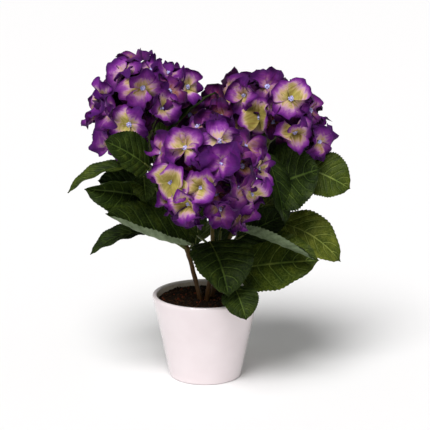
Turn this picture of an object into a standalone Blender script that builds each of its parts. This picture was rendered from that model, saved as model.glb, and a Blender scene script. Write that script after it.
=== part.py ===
"""Artificial hydrangea in a white tapered pot.

Three moulded stems stand in a plug of artificial soil, and each carries one mophead bloom.
Silk leaves come off the stems on short twigs, in masses that keep clear of one another.
The origin is the centre of the pot's flat underside, +Z is up and -Y is the front.
Named sizes and places are in millimetres, and MM turns them into metres.
"""

import random
from collections import namedtuple
from math import acos, atan2, cos, pi, radians, sin, sqrt

import bmesh
import bpy
import numpy as np
from mathutils import Matrix, Vector

MM = 0.001
GAP = 0.3  # between pieces that stand in or against one another
UP = Vector((0, 0, 1))

# Pot
POT_HEIGHT = 96.0
POT_RIM_RADIUS = 60.0
POT_BASE_RADIUS = 41.5
POT_WALL = 5.0
POT_FLOOR = 7.0
POT_RIM_ROUND = 2.2
POT_BASE_ROUND = 2.5
POT_STEPS = 36  # sides of the turned pot
POT_ROUND_STEPS = 3  # along each rounded edge

# Soil
SOIL_LEVEL = 91.0
SOIL_EDGE_DROP = 1.2  # how much lower the soil is at the pot's wall
SOIL_RELIEF = 0.7  # height of its lumps
SOIL_RINGS = 4
STEM_DEPTH = 25.0  # how far the stems are sunk in the soil

# Stems: the points each one passes through, from its foot, and its radius at foot and tip
STEM_FOOT_RADIUS = 2.8
STEM_TIP_RADIUS = 2.1
STEM_POINTS = 13
PATH_SAMPLES = 60  # points along a stem, for keeping leaves and florets clear of it
STEMS = {
    "left": ((-6, -8, 91), (-14, 0, 123), (-21, 2, 149), (-32, 5, 180), (-46, 11, 220), (-57, 17, 250)),
    "front": ((2, -9, 91), (5, -9, 115), (8, -13, 150), (8, -22, 176), (7, -34, 196)),
    "right": ((8, 5, 91), (14, 9, 121), (26, 13, 155), (44, 18, 200), (63, 22, 243)),
}

# Blooms: the centre of each head, and how far its florets' centres stand from it
BLOOM_CENTRES = {
    "left": (-64, 28, 303),
    "front": (3, -66, 247),
    "right": (78, 31, 297),
}
BLOOM_RADII = {"left": 56.0, "front": 54.0, "right": 56.0}
BLOOM_FLATNESS = 0.9  # height over width, along the stem
GOLDEN_ANGLE = pi * (3 - sqrt(5))
BLOOM_TRIES = 42  # places on a head, of which those too near another floret stay empty
BLOOM_SKIRT = 125.0  # degrees from the crown of the head down to its lowest florets
BLOOM_DEPTH = (0.9, 1.03)  # how far out a floret stands, as a share of the head's radius
BLOOM_CORE = 26.0
BLOOM_GAP = 1.0  # to the plane midway between two heads
# Where a head is flatter than round: planes it stays behind, each a point and the way it faces
BLOOM_LIMITS = {
    "left": (((-19, 22, 352), (117, 62)),),
    "front": (((-38, -101, 203), (-75, -48)),),
    "right": (((89, 30, 347), (180, 76)), ((118, 30, 324), (103, 43)), ((140, 30, 293), (96, 24))),
}
NECK_START = 0.4  # from the tip of the stem to the bloom's own stalk
NECK_STRAIGHT = (4, 16)  # where that stalk still runs on in line with the stem

# Key florets: where each stands on its head and where it faces, both as degrees to the right of -Y
# and degrees up, how far out, its turn, and the rise of its petals, in degrees
Key = namedtuple("Key", "at aim out spin cups")
KEY_FLORETS = {
    "left": (
        Key((-4, 33), (-4, 20), 1.0, 45, (50, 32, 4, 30)),
        Key((-19, -9), (-14, -4), 1.0, 2, (8, 10, 8, 6)),
        Key((19, 9), (26, 12), 1.0, 8, (10, 42, 45, 30)),
        Key((-69, 17), (-46, 14), 1.0, 30, (40, 8, 12, 38)),
        Key((72, 30), (38, 22), 1.12, 42, (34, 40, 40, 2)),
        Key((19, 71), (12, 48), 1.0, 20, (10, 18, 30, 12)),
        Key((-51, 52), (-40, 44), 1.0, 15, (8, 30, 12, 40)),
        Key((-66, -40), (-42, -24), 1.02, 48, (38, 10, 2, 34)),
        Key((-43, 2), (-62, 6), 0.98, 10, (44, 20, 30, 40)),
        Key((64, 58), (46, 52), 1.0, 30, (14, 24, 30, 10)),
        Key((92, -8), (-12, 0), 1.0, 20, (4, 4, 4, 2)),
    ),
    "front": (
        Key((-40, 44), (-26, 26), 1.0, 13, (6, 26, 8, 14)),
        Key((28, 56), (12, 26), 1.0, 50, (8, 6, 14, 10)),
        Key((18, 24), (12, 14), 1.0, 22, (40, 34, 30, 42)),
        Key((-45, 1), (-24, 0), 1.0, 10, (44, 14, 0, 46)),
        Key((-6, -3), (-12, 2), 1.0, 24, (44, 14, 0, 50)),
        Key((-22, -22), (-24, -20), 1.0, 45, (30, 34, 66, 50)),
        Key((61, -17), (34, -6), 1.0, 2, (26, 22, 0, -12)),
        Key((15, -29), (14, -14), 1.0, -22, (48, 50, 44, -4)),
        Key((-88, 27), (-56, 22), 1.0, 35, (24, 6, 20, 34)),
        Key((80, 9), (50, 8), 1.0, 15, (12, 44, 40, 10)),
        Key((-30, -46), (-20, -30), 1.0, 45, (50, 60, 0, 60)),
        Key((72, 38), (48, 30), 1.0, 20, (10, 36, 40, 16)),
        Key((-150, 68), (-60, 60), 1.0, 30, (20, 10, 24, 14)),
    ),
    "right": (
        Key((18, 26), (10, 16), 1.0, 4, (10, 8, 12, 8)),
        Key((-22, 4), (-16, 6), 1.0, 50, (8, 58, 2, 50)),
        Key((21, -12), (16, 6), 1.0, 46, (58, 12, 26, 10)),
        Key((66, -28), (30, -8), 1.08, 60, (20, 40, 8, -4)),
        Key((-44, 28), (-32, 20), 1.0, 42, (36, 44, 8, 30)),
        Key((-80, 25), (-46, 18), 1.0, 20, (30, 12, 10, 36)),
        Key((-78, -2), (-28, -2), 1.0, 5, (26, 14, 10, 24)),
        Key((-16, 45), (-10, 36), 1.0, 15, (20, 30, 10, 24)),
        Key((53, 10), (48, 12), 1.0, 40, (30, 40, 20, 6)),
        Key((-15, 60), (-8, 46), 0.9, 30, (12, 20, 16, 30)),
    ),
}
FLORET_APART = 24.5  # between the centres of neighbouring florets
FLORET_CLEAR = 4.5  # from the points of leaves and stems
FLORET_RADIUS = 24.0
FLORET_NOTCH = 0.5  # how deep the notch between petals is
FLORET_POINTS = 12
FLORET_NARROW = 8  # how narrow that notch is
FLORET_SIZES = (0.94, 1.06)
FLORET_CUP = (4, 48)  # degrees that a petal is raised
FLORET_TILT = 0.35  # how far a floret leans away from facing straight out
FLORET_SHRINK = (1.0, 0.95, 0.9, 0.85, 0.8)  # tried in turn where a floret would touch a neighbour
PETAL_THICKNESS = 0.8
PEDICEL_RADIUS = 1.0
PEDICEL_FOOT = 1.5  # a pedicel's radius at its foot over that at its floret
PEDICEL_START = 0.4  # how far out of the head's centre a pedicel starts, inside the core

# Leaves
LEAF_THICKNESS = 1.0
LEAF_SHOULDER = 0.62  # the blade's outline: how fast it widens from the base
LEAF_TAPER = 0.78  # and how fast it narrows to the tip
LEAF_FULLNESS = 2.61  # which makes the widest place of that outline 1
LEAF_END = 2.0  # width of the blade at its very base and tip
LEAF_STATIONS = 5
LEAF_COLUMNS = (2, 6)  # across a plain leaf, and across one with a rolled margin
LEAF_SAMPLES = (10, 4)  # points along a leaf and across each half, for keeping leaves apart
ROLLED = 20  # degrees of curl from which a margin counts as rolled
TWIG_RADIUS = 1.9
TWIG_TAPER = 0.9
TWIG_LENGTH = 9.0
PETIOLE_RADIUS = 1.3
PETIOLE_ROOT = 0.8  # a petiole's radius at its root over its twig's
PETIOLE_START = 0.6  # how far along its twig a petiole starts
PETIOLE_RISE = 1.5  # how far it arches up on its way to the blade
PETIOLE_POINTS = 4
MIDRIB_SINK = 0.14  # share of the blade that the petiole runs into

# A leaf has a base, a tip, a width, a roll about its midrib, an arch over its length, and for
# its left and right halves the fold at the midrib and the further curl of the blade, in degrees
Leaf = namedtuple("Leaf", "base tip width roll arch left right")
Floret = namedtuple("Floret", "place aim spin cups radius")

# Each mass of leaves: the stem it grows on, the height it leaves it at, and its leaves
LEAF_MASSES = {
    "left_low": ("left", 147, (
        Leaf((-14, -22, 159), (-107, -60, 203), 68, -50, -0.04, (14, 95), (10, 5)),
        Leaf((-64, 2, 166), (-128, -18, 146), 30, -20, 0.16, (12, 6), (12, 6)),
    )),
    "left_mid": ("left", 190, (
        Leaf((-66, -8, 210), (-131, -42, 226), 62, -60, 0.06, (8, 0), (62, 50)),
        Leaf((-67, -28, 241), (-64, -38, 210), 30, 20, 0.05, (25, 10), (25, 10)),
    )),
    "left_top": ("left", 232, (
        Leaf((-78, 2, 240), (-152, -12, 215), 26, -20, 0.16, (16, 6), (16, 6)),
        Leaf((-60, -42, 250), (-106, -72, 285), 50, -62, 0.06, (10, 5), (10, 5)),
    )),
    "front_low": ("front", 140, (
        Leaf((5, -27, 163), (26, -76, 114), 78, 4, 0.12, (28, -8), (28, -8)),
        Leaf((32, -48, 118), (45, -76, 88), 42, 12, 0.10, (8, 4), (8, 4)),
        Leaf((17, -5, 170), (30, -7, 206), 30, 82, 0.05, (10, 4), (10, 4)),
    )),
    "right_low": ("right", 119, (
        Leaf((36, -8, 127), (126, -38, 145), 80, 44, 0.03, (6, 6), (6, 6)),
    )),
    "right_mid": ("right", 160, (
        Leaf((79, 34, 171), (154, 14, 129), 54, 42, 0.20, (8, 4), (8, 4)),
        Leaf((38, -10, 173), (119, -60, 152), 56, 42, 0.10, (-48, -20), (12, 140)),
        Leaf((36, 4, 158), (96, 0, 190), 40, 58, 0.06, (8, 4), (8, 4)),
    )),
    "right_top": ("right", 210, (
        Leaf((70, 0, 219), (127, -14, 243), 84, 56, 0.02, (8, 2), (8, 2)),
        Leaf((113, 22, 237), (163, 10, 215), 56, 55, 0.10, (8, 2), (8, 2)),
        Leaf((66, -12, 262), (88, -32, 184), 38, 0, 0.05, (12, 4), (12, 4)),
    )),
    "middle": ("left", 205, (
        Leaf((-43, -2, 277), (11, 14, 323), 32, -8, 0.06, (10, 0), (10, 0)),
        Leaf((-46, -36, 266), (-48, -50, 302), 17, 0, 0.04, (12, 0), (12, 0)),
    )),
}

# Masses that follow the rule: stem, height, heading in degrees to the right of -Y, and leaves
RULED_MASSES = {
    "back_left_low": ("left", 140, 182, 2),
    "back_right_low": ("right", 138, 138, 2),
    "back_left_mid": ("left", 180, 205, 2),
    "back_right_mid": ("right", 176, 155, 2),
    "back_left_top": ("left", 222, 184, 2),
    "back_right_top": ("right", 222, 165, 2),
}
RULED_SPREAD = 42.0  # degrees between neighbouring leaves of a mass
RULED_STRAY = 9  # degrees that a leaf may stray from its place in that spread
RULED_BASE_OUT = (28, 40)  # from the stem to the base of the blade
RULED_BASE_UP = (2, 16)
RULED_BEND = 10  # degrees between a petiole's heading and its blade's
RULED_DROOP = (-20, 14)  # degrees up
RULED_LENGTH = (76, 92)
RULED_WIDTH = (50, 62)
RULED_FOLD = (8, 18)
RULED_CURL = 5
RULED_ROLL = 14
RULED_ARCH = (0.08, 0.16)
RULED_TRIES = 8
LEAF_APART = 7.0  # between the sample points of two leaves, so that they stay clear

# Finishes: linear colour and roughness
FINISHES = {
    "white glazed ceramic": ((0.82, 0.77, 0.78), 0.2),
    "artificial soil": ((0.02, 0.01, 0.006), 0.9),
    "moulded stems": ((0.16, 0.11, 0.03), 0.5),
    "silk leaves": ((0.045, 0.085, 0.02), 0.55),
    "silk petals": ((0.18, 0.035, 0.33), 0.6),
}


def clear_scene():
    """Start from an empty scene."""
    for thing in list(bpy.data.objects):
        bpy.data.objects.remove(thing, do_unlink=True)


def make_material(name, colour, roughness):
    """A plain finish: linear colour and roughness."""
    material = bpy.data.materials.new(name)
    material.use_nodes = True
    shader = material.node_tree.nodes["Principled BSDF"]
    shader.inputs["Base Color"].default_value = (*colour, 1.0)
    shader.inputs["Roughness"].default_value = roughness
    return material


def add_mesh_object(name, bm, collection):
    """Turn a bmesh in millimetres into an object in metres."""
    bmesh.ops.scale(bm, vec=(MM, MM, MM), verts=bm.verts)
    mesh = bpy.data.meshes.new(name)
    bm.to_mesh(mesh)
    bm.free()
    thing = bpy.data.objects.new(name, mesh)
    collection.objects.link(thing)
    return thing


def finished_mesh(thing):
    """The mesh of an object with its modifiers or bevel applied, with its doubles welded."""
    graph = bpy.context.evaluated_depsgraph_get()
    mesh = bpy.data.meshes.new_from_object(thing.evaluated_get(graph))
    bm = bmesh.new()
    bm.from_mesh(mesh)
    bmesh.ops.remove_doubles(bm, verts=bm.verts, dist=0.01 * MM)
    bm.to_mesh(mesh)
    bm.free()
    return mesh


def smooth_path(points, count):
    """Evenly numbered points on a curve that passes through the given ones."""
    knots = [Vector(point) for point in points]
    knots = [2 * knots[0] - knots[1], *knots, 2 * knots[-1] - knots[-2]]
    spans = len(knots) - 3
    path = []
    for step in range(count):
        place = step / (count - 1) * spans
        span = min(int(place), spans - 1)
        t = place - span
        a, b, c, d = knots[span:span + 4]
        path.append(0.5 * (2 * b + (c - a) * t + (2 * a - 5 * b + 4 * c - d) * t * t
                           + (3 * b - a - 3 * c + d) * t ** 3))
    return path


def add_tube(name, path, foot_radius, tip_radius, collection, resolution=0):
    """A round limb along a path, tapering from foot to tip, as a closed mesh."""
    curve = bpy.data.curves.new(name, "CURVE")
    curve.dimensions = "3D"
    curve.bevel_depth = MM
    curve.bevel_resolution = resolution
    curve.use_fill_caps = True
    spline = curve.splines.new("POLY")
    spline.points.add(len(path) - 1)
    for index, (point, place) in enumerate(zip(spline.points, path)):
        share = index / (len(path) - 1)
        point.co = (*(place * MM), 1.0)
        point.radius = foot_radius + (tip_radius - foot_radius) * share
    guide = bpy.data.objects.new(name + "_path", curve)
    collection.objects.link(guide)
    bpy.context.view_layer.update()
    mesh = finished_mesh(guide)
    bpy.data.objects.remove(guide, do_unlink=True)
    tube = bpy.data.objects.new(name, mesh)
    collection.objects.link(tube)
    return tube


def add_turned(name, profile, steps, collection):
    """A profile of (radius, height) points, from top to bottom down the outside, turned about Z."""
    bm = bmesh.new()
    points = [bm.verts.new((radius, 0, height)) for radius, height in profile]
    for upper, lower in zip(points, points[1:]):
        bm.edges.new((upper, lower))
    turned = add_mesh_object(name, bm, collection)
    screw = turned.modifiers.new("Turn", "SCREW")
    screw.steps = steps
    screw.render_steps = steps
    screw.use_merge_vertices = True
    screw.merge_threshold = 0.01 * MM
    return turned


def arc(centre, radius, start, end, count):
    """Points on a round corner of a profile, angles in degrees from +radius towards +height."""
    points = []
    for step in range(count + 1):
        angle = radians(start + (end - start) * step / count)
        points.append((centre[0] + radius * cos(angle), centre[1] + radius * sin(angle)))
    return points


def wall_radius(height):
    """The pot's outer radius at a height on its tapered side."""
    return POT_BASE_RADIUS + (POT_RIM_RADIUS - POT_BASE_RADIUS) * height / POT_HEIGHT


def add_pot(collection):
    """The pot: a tapered cup with a rounded rim and foot edge and a flat underside."""
    rim_centre = (wall_radius(POT_HEIGHT) - POT_RIM_ROUND, POT_HEIGHT - POT_RIM_ROUND)
    inner_rim = (wall_radius(POT_HEIGHT) - POT_WALL + POT_RIM_ROUND, POT_HEIGHT - POT_RIM_ROUND)
    foot_centre = (POT_BASE_RADIUS - POT_BASE_ROUND, POT_BASE_ROUND)
    inner_foot = wall_radius(POT_FLOOR) - POT_WALL
    profile = [(0.0, POT_FLOOR), (inner_foot, POT_FLOOR)]
    profile += arc(inner_rim, POT_RIM_ROUND, 180, 90, POT_ROUND_STEPS)
    profile += arc(rim_centre, POT_RIM_ROUND, 90, 0, POT_ROUND_STEPS)
    profile += arc(foot_centre, POT_BASE_ROUND, 0, -90, POT_ROUND_STEPS)
    profile += [(0.0, 0.0)]
    return add_turned("pot", profile, POT_STEPS, collection)


def add_soil(collection):
    """The plug of artificial soil, with a lumpy top, that fills the pot to just under its rim."""
    bm = bmesh.new()
    edge_level = SOIL_LEVEL - SOIL_EDGE_DROP
    bottom = POT_FLOOR + GAP
    top_radius = wall_radius(edge_level) - POT_WALL - GAP
    bottom_radius = wall_radius(bottom) - POT_WALL - GAP
    bmesh.ops.create_circle(bm, cap_ends=True, cap_tris=True, segments=POT_STEPS // 2, radius=top_radius)
    spokes = [edge for edge in bm.edges if not edge.is_boundary]
    bmesh.ops.subdivide_edges(bm, edges=spokes, cuts=SOIL_RINGS - 1)
    dice = random.Random("soil")
    for vert in bm.verts:
        out = vert.co.xy.length / top_radius
        vert.co.z = SOIL_LEVEL - SOIL_EDGE_DROP * out ** 4
        if not vert.is_boundary:
            vert.co.z += dice.uniform(-SOIL_RELIEF, SOIL_RELIEF)
    rim = [edge for edge in bm.edges if edge.is_boundary]
    wall = bmesh.ops.extrude_edge_only(bm, edges=rim)["geom"]
    low = [item for item in wall if isinstance(item, bmesh.types.BMVert)]
    for vert in low:
        vert.co.xy *= bottom_radius / top_radius
        vert.co.z = bottom
    bmesh.ops.contextual_create(bm, geom=low)
    bmesh.ops.triangulate(bm, faces=[face for face in bm.faces if len(face.verts) > 4])
    bmesh.ops.recalc_face_normals(bm, faces=bm.faces)
    return add_mesh_object("soil", bm, collection)


def stem_path(name):
    """A stem's centre line, from its sunk foot up to its bloom."""
    foot = Vector(STEMS[name][0]) - UP * STEM_DEPTH
    return smooth_path([foot, *STEMS[name]], STEM_POINTS)


def cut_socket(soil, name, cutters):
    """Cut the hole that a stem's foot stands in, a gap wider all round."""
    path = stem_path(name)
    start = path[0] + (path[0] - path[1]).normalized() * GAP
    reach = [point for point in path if point.z < SOIL_LEVEL + 3 * STEM_FOOT_RADIUS]
    cutter = add_tube(f"{name}_socket", [start, *reach, path[len(reach)]],
                      STEM_FOOT_RADIUS + GAP, STEM_FOOT_RADIUS + GAP, cutters, resolution=2)
    cutter.hide_render = True
    cutter.display_type = "WIRE"
    cut = soil.modifiers.new(f"{name} socket", "BOOLEAN")
    cut.operation = "DIFFERENCE"
    cut.object = cutter


def heading(degrees_right, degrees_up=0.0):
    """A direction given as degrees to the right of -Y and degrees up."""
    turn = radians(degrees_right)
    lift = radians(degrees_up)
    return Vector((sin(turn) * cos(lift), -cos(turn) * cos(lift), sin(lift)))


def leaf_point(leaf, t, s):
    """A point of a leaf's blade: t from base to tip, s from the left edge, -1, to the right, 1."""
    base = Vector(leaf.base)
    chord = Vector(leaf.tip) - base
    length = chord.length
    along = chord / length
    side = along.cross(UP).normalized()
    normal = side.cross(along)
    turn = Matrix.Rotation(radians(leaf.roll), 3, along)
    side = turn @ side
    normal = turn @ normal
    outline = LEAF_FULLNESS * t ** LEAF_SHOULDER * (1 - t) ** LEAF_TAPER
    half = max(0.5 * leaf.width * outline, LEAF_END / 2)
    fold, curl = leaf.left if s < 0 else leaf.right
    fold = radians(fold)
    curl = radians(curl or 1)
    share = abs(s)
    out = half * (sin(fold + curl * share) - sin(fold)) / curl
    rise = half * (cos(fold) - cos(fold + curl * share)) / curl
    out = out if s > 0 else -out
    arch = leaf.arch * length * 4 * t * (1 - t)
    return base + along * (length * t) + side * out + normal * (rise + arch)


def add_blade(name, leaf, collection):
    """A leaf's blade: a folded, arched sheet with its thickness."""
    bm = bmesh.new()
    rolled = max(leaf.left[1], leaf.right[1]) > ROLLED
    bmesh.ops.create_grid(bm, x_segments=LEAF_STATIONS, y_segments=LEAF_COLUMNS[rolled], size=1.0)
    for vert in bm.verts:
        vert.co = leaf_point(leaf, (vert.co.x + 1) / 2, -vert.co.y)
    blade = add_mesh_object(name, bm, collection)
    solid = blade.modifiers.new("Thickness", "SOLIDIFY")
    solid.thickness = LEAF_THICKNESS * MM
    solid.offset = 0.0
    bpy.context.view_layer.update()
    mesh = finished_mesh(blade)
    bpy.data.objects.remove(blade, do_unlink=True)
    thick = bpy.data.objects.new(name, mesh)
    collection.objects.link(thick)
    return thick


def leaf_samples(leaf):
    """Points all over a blade and along its margin, for keeping leaves apart."""
    long, wide = LEAF_SAMPLES
    return [leaf_point(leaf, t / long, s / wide) for t in range(long + 1) for s in range(-wide, wide + 1)]


def apart(some, others, distance):
    """True when no point of one set is nearer than a distance to a point of the other."""
    if len(some) == 0 or len(others) == 0:
        return True
    between = np.array(some)[:, None] - np.array(others)[None]
    return (between ** 2).sum(axis=2).min() > distance ** 2


def stem_at(name, height):
    """The point of a stem's centre line at a height, and the stem's direction there."""
    path = stem_path(name)
    for low, high in zip(path, path[1:]):
        if low.z <= height <= high.z:
            return low.lerp(high, (height - low.z) / (high.z - low.z)), (high - low).normalized()
    return path[-1], (path[-1] - path[-2]).normalized()


def twig_ends(stem, height, leaves):
    """Where a mass's twig starts, a gap clear of its stem, and where its petioles part."""
    middle, rising = stem_at(stem, height)
    bases = sum((Vector(leaf.base) for leaf in leaves), Vector()) / len(leaves)
    out = (bases - middle).normalized()
    lean = abs(out.dot(rising))  # cosine of the angle between twig and stem
    clear = (STEM_FOOT_RADIUS + GAP + TWIG_RADIUS * lean) / sqrt(1 - lean * lean)
    start = middle + out * clear
    return start, start + out * TWIG_LENGTH


def petiole_path(start, fork, leaf):
    """A petiole's line, from inside the twig, bending up into the leaf's midrib."""
    base = Vector(leaf.base)
    root = start.lerp(fork, PETIOLE_START)
    sunk = leaf_point(leaf, MIDRIB_SINK, 0)
    return smooth_path([root, (fork + base) / 2 + UP * PETIOLE_RISE, base, sunk], PETIOLE_POINTS)


def fuse(name, pieces, collection):
    """Join overlapping pieces into one solid with one Boolean union on their collection."""
    group = bpy.data.collections.new(name + "_pieces")
    bpy.context.scene.collection.children.link(group)
    first, *others = pieces
    for piece in others:
        collection.objects.unlink(piece)
        group.objects.link(piece)
    union = first.modifiers.new("Union", "BOOLEAN")
    union.operation = "UNION"
    union.operand_type = "COLLECTION"
    union.collection = group
    union.solver = "MANIFOLD"
    bpy.context.view_layer.update()
    mesh = finished_mesh(first)
    for piece in pieces:
        bpy.data.objects.remove(piece, do_unlink=True)
    bpy.data.collections.remove(group)
    keep_outer_body(mesh)
    mesh.materials.clear()
    joined = bpy.data.objects.new(name, mesh)
    collection.objects.link(joined)
    return joined


def keep_outer_body(mesh):
    """Keep a mesh's largest body: what fusing sealed inside is filled, loose scraps are dropped."""
    bm = bmesh.new()
    bm.from_mesh(mesh)
    bmesh.ops.triangulate(bm, faces=bm.faces)
    left = set(bm.faces)
    bodies = []
    while left:
        front = [left.pop()]
        body = list(front)
        while front:
            face = front.pop()
            for edge in face.edges:
                for near in edge.link_faces:
                    if near in left:
                        left.remove(near)
                        front.append(near)
                        body.append(near)
        bodies.append(body)
    bodies.sort(key=lambda body: -sum(face.calc_area() for face in body))
    dropped = [face for body in bodies[1:] for face in body]
    bmesh.ops.delete(bm, geom=dropped, context="FACES")
    bm.to_mesh(mesh)
    bm.free()


def ruled_leaf(middle, turn, dice):
    """A leaf that points a given way from its stem, with the rule's length, width, sag and fold."""
    base = middle + heading(turn) * dice.uniform(*RULED_BASE_OUT) + UP * dice.uniform(*RULED_BASE_UP)
    along = heading(turn + dice.uniform(-RULED_BEND, RULED_BEND), dice.uniform(*RULED_DROOP))
    tip = base + along * dice.uniform(*RULED_LENGTH)
    left = (dice.uniform(*RULED_FOLD), RULED_CURL)
    right = (dice.uniform(*RULED_FOLD), RULED_CURL)
    width = dice.uniform(*RULED_WIDTH)
    roll = dice.uniform(-RULED_ROLL, RULED_ROLL)
    arch = dice.uniform(*RULED_ARCH)
    return Leaf(base, tip, width, roll, arch, left, right)


def all_leaf_masses():
    """Every mass with its leaves. A ruled leaf is tried a few times, and skipped if it never fits."""
    masses = dict(LEAF_MASSES)
    taken = [smooth_path(stem_path(name), PATH_SAMPLES) for name in STEMS]
    taken += [leaf_samples(leaf) for _, _, leaves in LEAF_MASSES.values() for leaf in leaves]
    for name, (stem, height, facing, count) in RULED_MASSES.items():
        dice = random.Random(name)
        middle, _ = stem_at(stem, height)
        kept = []
        for index in range(count):
            turn = facing + (index - (count - 1) / 2) * RULED_SPREAD
            for _ in range(RULED_TRIES):
                leaf = ruled_leaf(middle, turn + dice.uniform(-RULED_STRAY, RULED_STRAY), dice)
                samples = leaf_samples(leaf)
                if all(apart(samples, other, LEAF_APART) for other in taken):
                    taken.append(samples)
                    kept.append(leaf)
                    break
        if kept:
            masses[name] = (stem, height, kept)
    return masses


def obstacles(masses):
    """Points on every stem, petiole and blade, which the florets keep clear of."""
    points = [point for name in STEMS for point in smooth_path(stem_path(name), PATH_SAMPLES)]
    for stem, height, leaves in masses.values():
        start, fork = twig_ends(stem, height, leaves)
        for leaf in leaves:
            points += leaf_samples(leaf)
            points += smooth_path(petiole_path(start, fork, leaf), 3 * PETIOLE_POINTS)
    return np.array(points)


def add_leaf_mass(name, stem, height, leaves, collection):
    """One mass: a twig, its petioles and its leaves in one solid."""
    start, fork = twig_ends(stem, height, leaves)
    end_radius = TWIG_RADIUS * TWIG_TAPER
    root_radius = TWIG_RADIUS * PETIOLE_ROOT
    pieces = [add_tube(name, [start, fork], TWIG_RADIUS, end_radius, collection, resolution=1)]
    for index, leaf in enumerate(leaves):
        path = petiole_path(start, fork, leaf)
        pieces.append(add_tube(f"{name}_petiole_{index}", path, root_radius, PETIOLE_RADIUS, collection))
        pieces.append(add_blade(f"{name}_blade_{index}", leaf, collection))
    return fuse(f"leaves_{name}", pieces, collection)


def floret_points(floret):
    """A floret's outline: four petals, each raised by its own cup angle, from its centre."""
    turn = floret.aim.to_track_quat("Z", "Y").to_matrix() @ Matrix.Rotation(floret.spin, 3, "Z")
    cups = floret.cups
    points = []
    for step in range(FLORET_POINTS):
        angle = 2 * pi * step / FLORET_POINTS
        petal = step * 4 // FLORET_POINTS
        within = (step * 4 / FLORET_POINTS) % 1.0
        reach = floret.radius * (1 - FLORET_NOTCH * abs(cos(pi * within)) ** FLORET_NARROW)
        lift = radians(cups[petal]) if within else radians((cups[petal] + cups[petal - 1]) / 2)
        place = Vector((cos(angle) * cos(lift), sin(angle) * cos(lift), sin(lift))) * reach
        points.append(floret.place + turn @ place)
    return points


def floret_samples(floret):
    """Points all over a floret, for keeping it clear of leaves and stems."""
    outline = floret_points(floret)
    outline += [(here + there) / 2 for here, there in zip(outline, outline[1:] + outline[:1])]
    return [floret.place.lerp(point, share) for point in outline for share in (1 / 3, 2 / 3, 1)]


def spread_headings(axis):
    """Directions spread evenly over a head, from its crown on the given axis down to its skirt."""
    turn = axis.to_track_quat("Z", "Y").to_matrix()
    depth = 1 - cos(radians(BLOOM_SKIRT))
    for index in range(BLOOM_TRIES):
        down = acos(1 - depth * (index + 0.5) / BLOOM_TRIES)
        around = index * GOLDEN_ANGLE
        yield turn @ Vector((sin(down) * cos(around), sin(down) * sin(around), cos(down)))


def bloom_walls(name):
    """The planes that a head stays behind, midway to the other heads or set, as points and directions."""
    centre = Vector(BLOOM_CENTRES[name])
    others = [Vector(place) for other, place in BLOOM_CENTRES.items() if other != name]
    walls = [((centre + other) / 2, (other - centre).normalized()) for other in others]
    return walls + [(Vector(place), heading(*across)) for place, across in BLOOM_LIMITS.get(name, ())]


def bloom_florets(name, blocked):
    """A head's florets by the rule: the key ones, then an even spread over the rest of the head."""
    centre = Vector(BLOOM_CENTRES[name])
    axis = (centre - stem_path(name)[-1]).normalized()
    keys = KEY_FLORETS[name]
    facings = [heading(*key.at) for key in keys] + [*spread_headings(axis)]
    walls = bloom_walls(name)
    florets = []
    for index, facing in enumerate(facings):
        dice = random.Random(f"{name} {index}")
        key = keys[index] if index < len(keys) else None
        out = BLOOM_RADII[name] * (key.out if key else dice.uniform(*BLOOM_DEPTH))
        flat = 1 - (1 - BLOOM_FLATNESS) * facing.dot(axis) ** 2
        tilt = Vector([dice.uniform(-1, 1) for _ in range(3)]) * FLORET_TILT
        aim = heading(*key.aim) if key else (facing + tilt).normalized()
        cups = key.cups if key else [dice.uniform(*FLORET_CUP) for _ in range(4)]
        spin = radians(key.spin) if key else dice.uniform(0, pi / 2)
        radius = FLORET_RADIUS * dice.uniform(*FLORET_SIZES)
        for shrink in FLORET_SHRINK:
            place = centre + facing * out * flat * shrink
            floret = Floret(place, aim, spin, cups, radius * shrink)
            if not key and not apart([place], [other.place for other in florets], FLORET_APART * shrink):
                continue
            points = floret_points(floret)
            if any((point - wall).dot(across) > -BLOOM_GAP for wall, across in walls for point in points):
                continue
            if apart(floret_samples(floret), blocked, FLORET_CLEAR):
                florets.append(floret)
                break
    return florets


def add_floret(name, floret, collection):
    """A floret's four petals as one thin solid with deep notches."""
    bm = bmesh.new()
    bmesh.ops.create_circle(bm, cap_ends=True, cap_tris=True, segments=FLORET_POINTS, radius=1.0)
    outline = floret_points(floret)
    for vert in bm.verts:
        if vert.co.xy.length < 0.5:
            vert.co = floret.place
        else:
            step = round(atan2(vert.co.y, vert.co.x) / (2 * pi) * FLORET_POINTS) % FLORET_POINTS
            vert.co = outline[step]
    bmesh.ops.recalc_face_normals(bm, faces=bm.faces)
    sheet = add_mesh_object(name, bm, collection)
    solid = sheet.modifiers.new("Thickness", "SOLIDIFY")
    solid.thickness = PETAL_THICKNESS * MM
    solid.offset = 0.0
    bpy.context.view_layer.update()
    mesh = finished_mesh(sheet)
    bpy.data.objects.remove(sheet, do_unlink=True)
    thick = bpy.data.objects.new(name, mesh)
    collection.objects.link(thick)
    return thick


def add_pedicel(name, start, end, collection):
    """A three-sided twig from a head's core to a floret."""
    bm = bmesh.new()
    length = (end - start).length
    turn = (end - start).to_track_quat("Z", "Y").to_matrix().to_4x4()
    bmesh.ops.create_cone(bm, cap_ends=True, segments=3, radius1=PEDICEL_RADIUS * PEDICEL_FOOT,
                          radius2=PEDICEL_RADIUS, depth=length,
                          matrix=Matrix.Translation((start + end) / 2) @ turn)
    return add_mesh_object(name, bm, collection)


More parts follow.
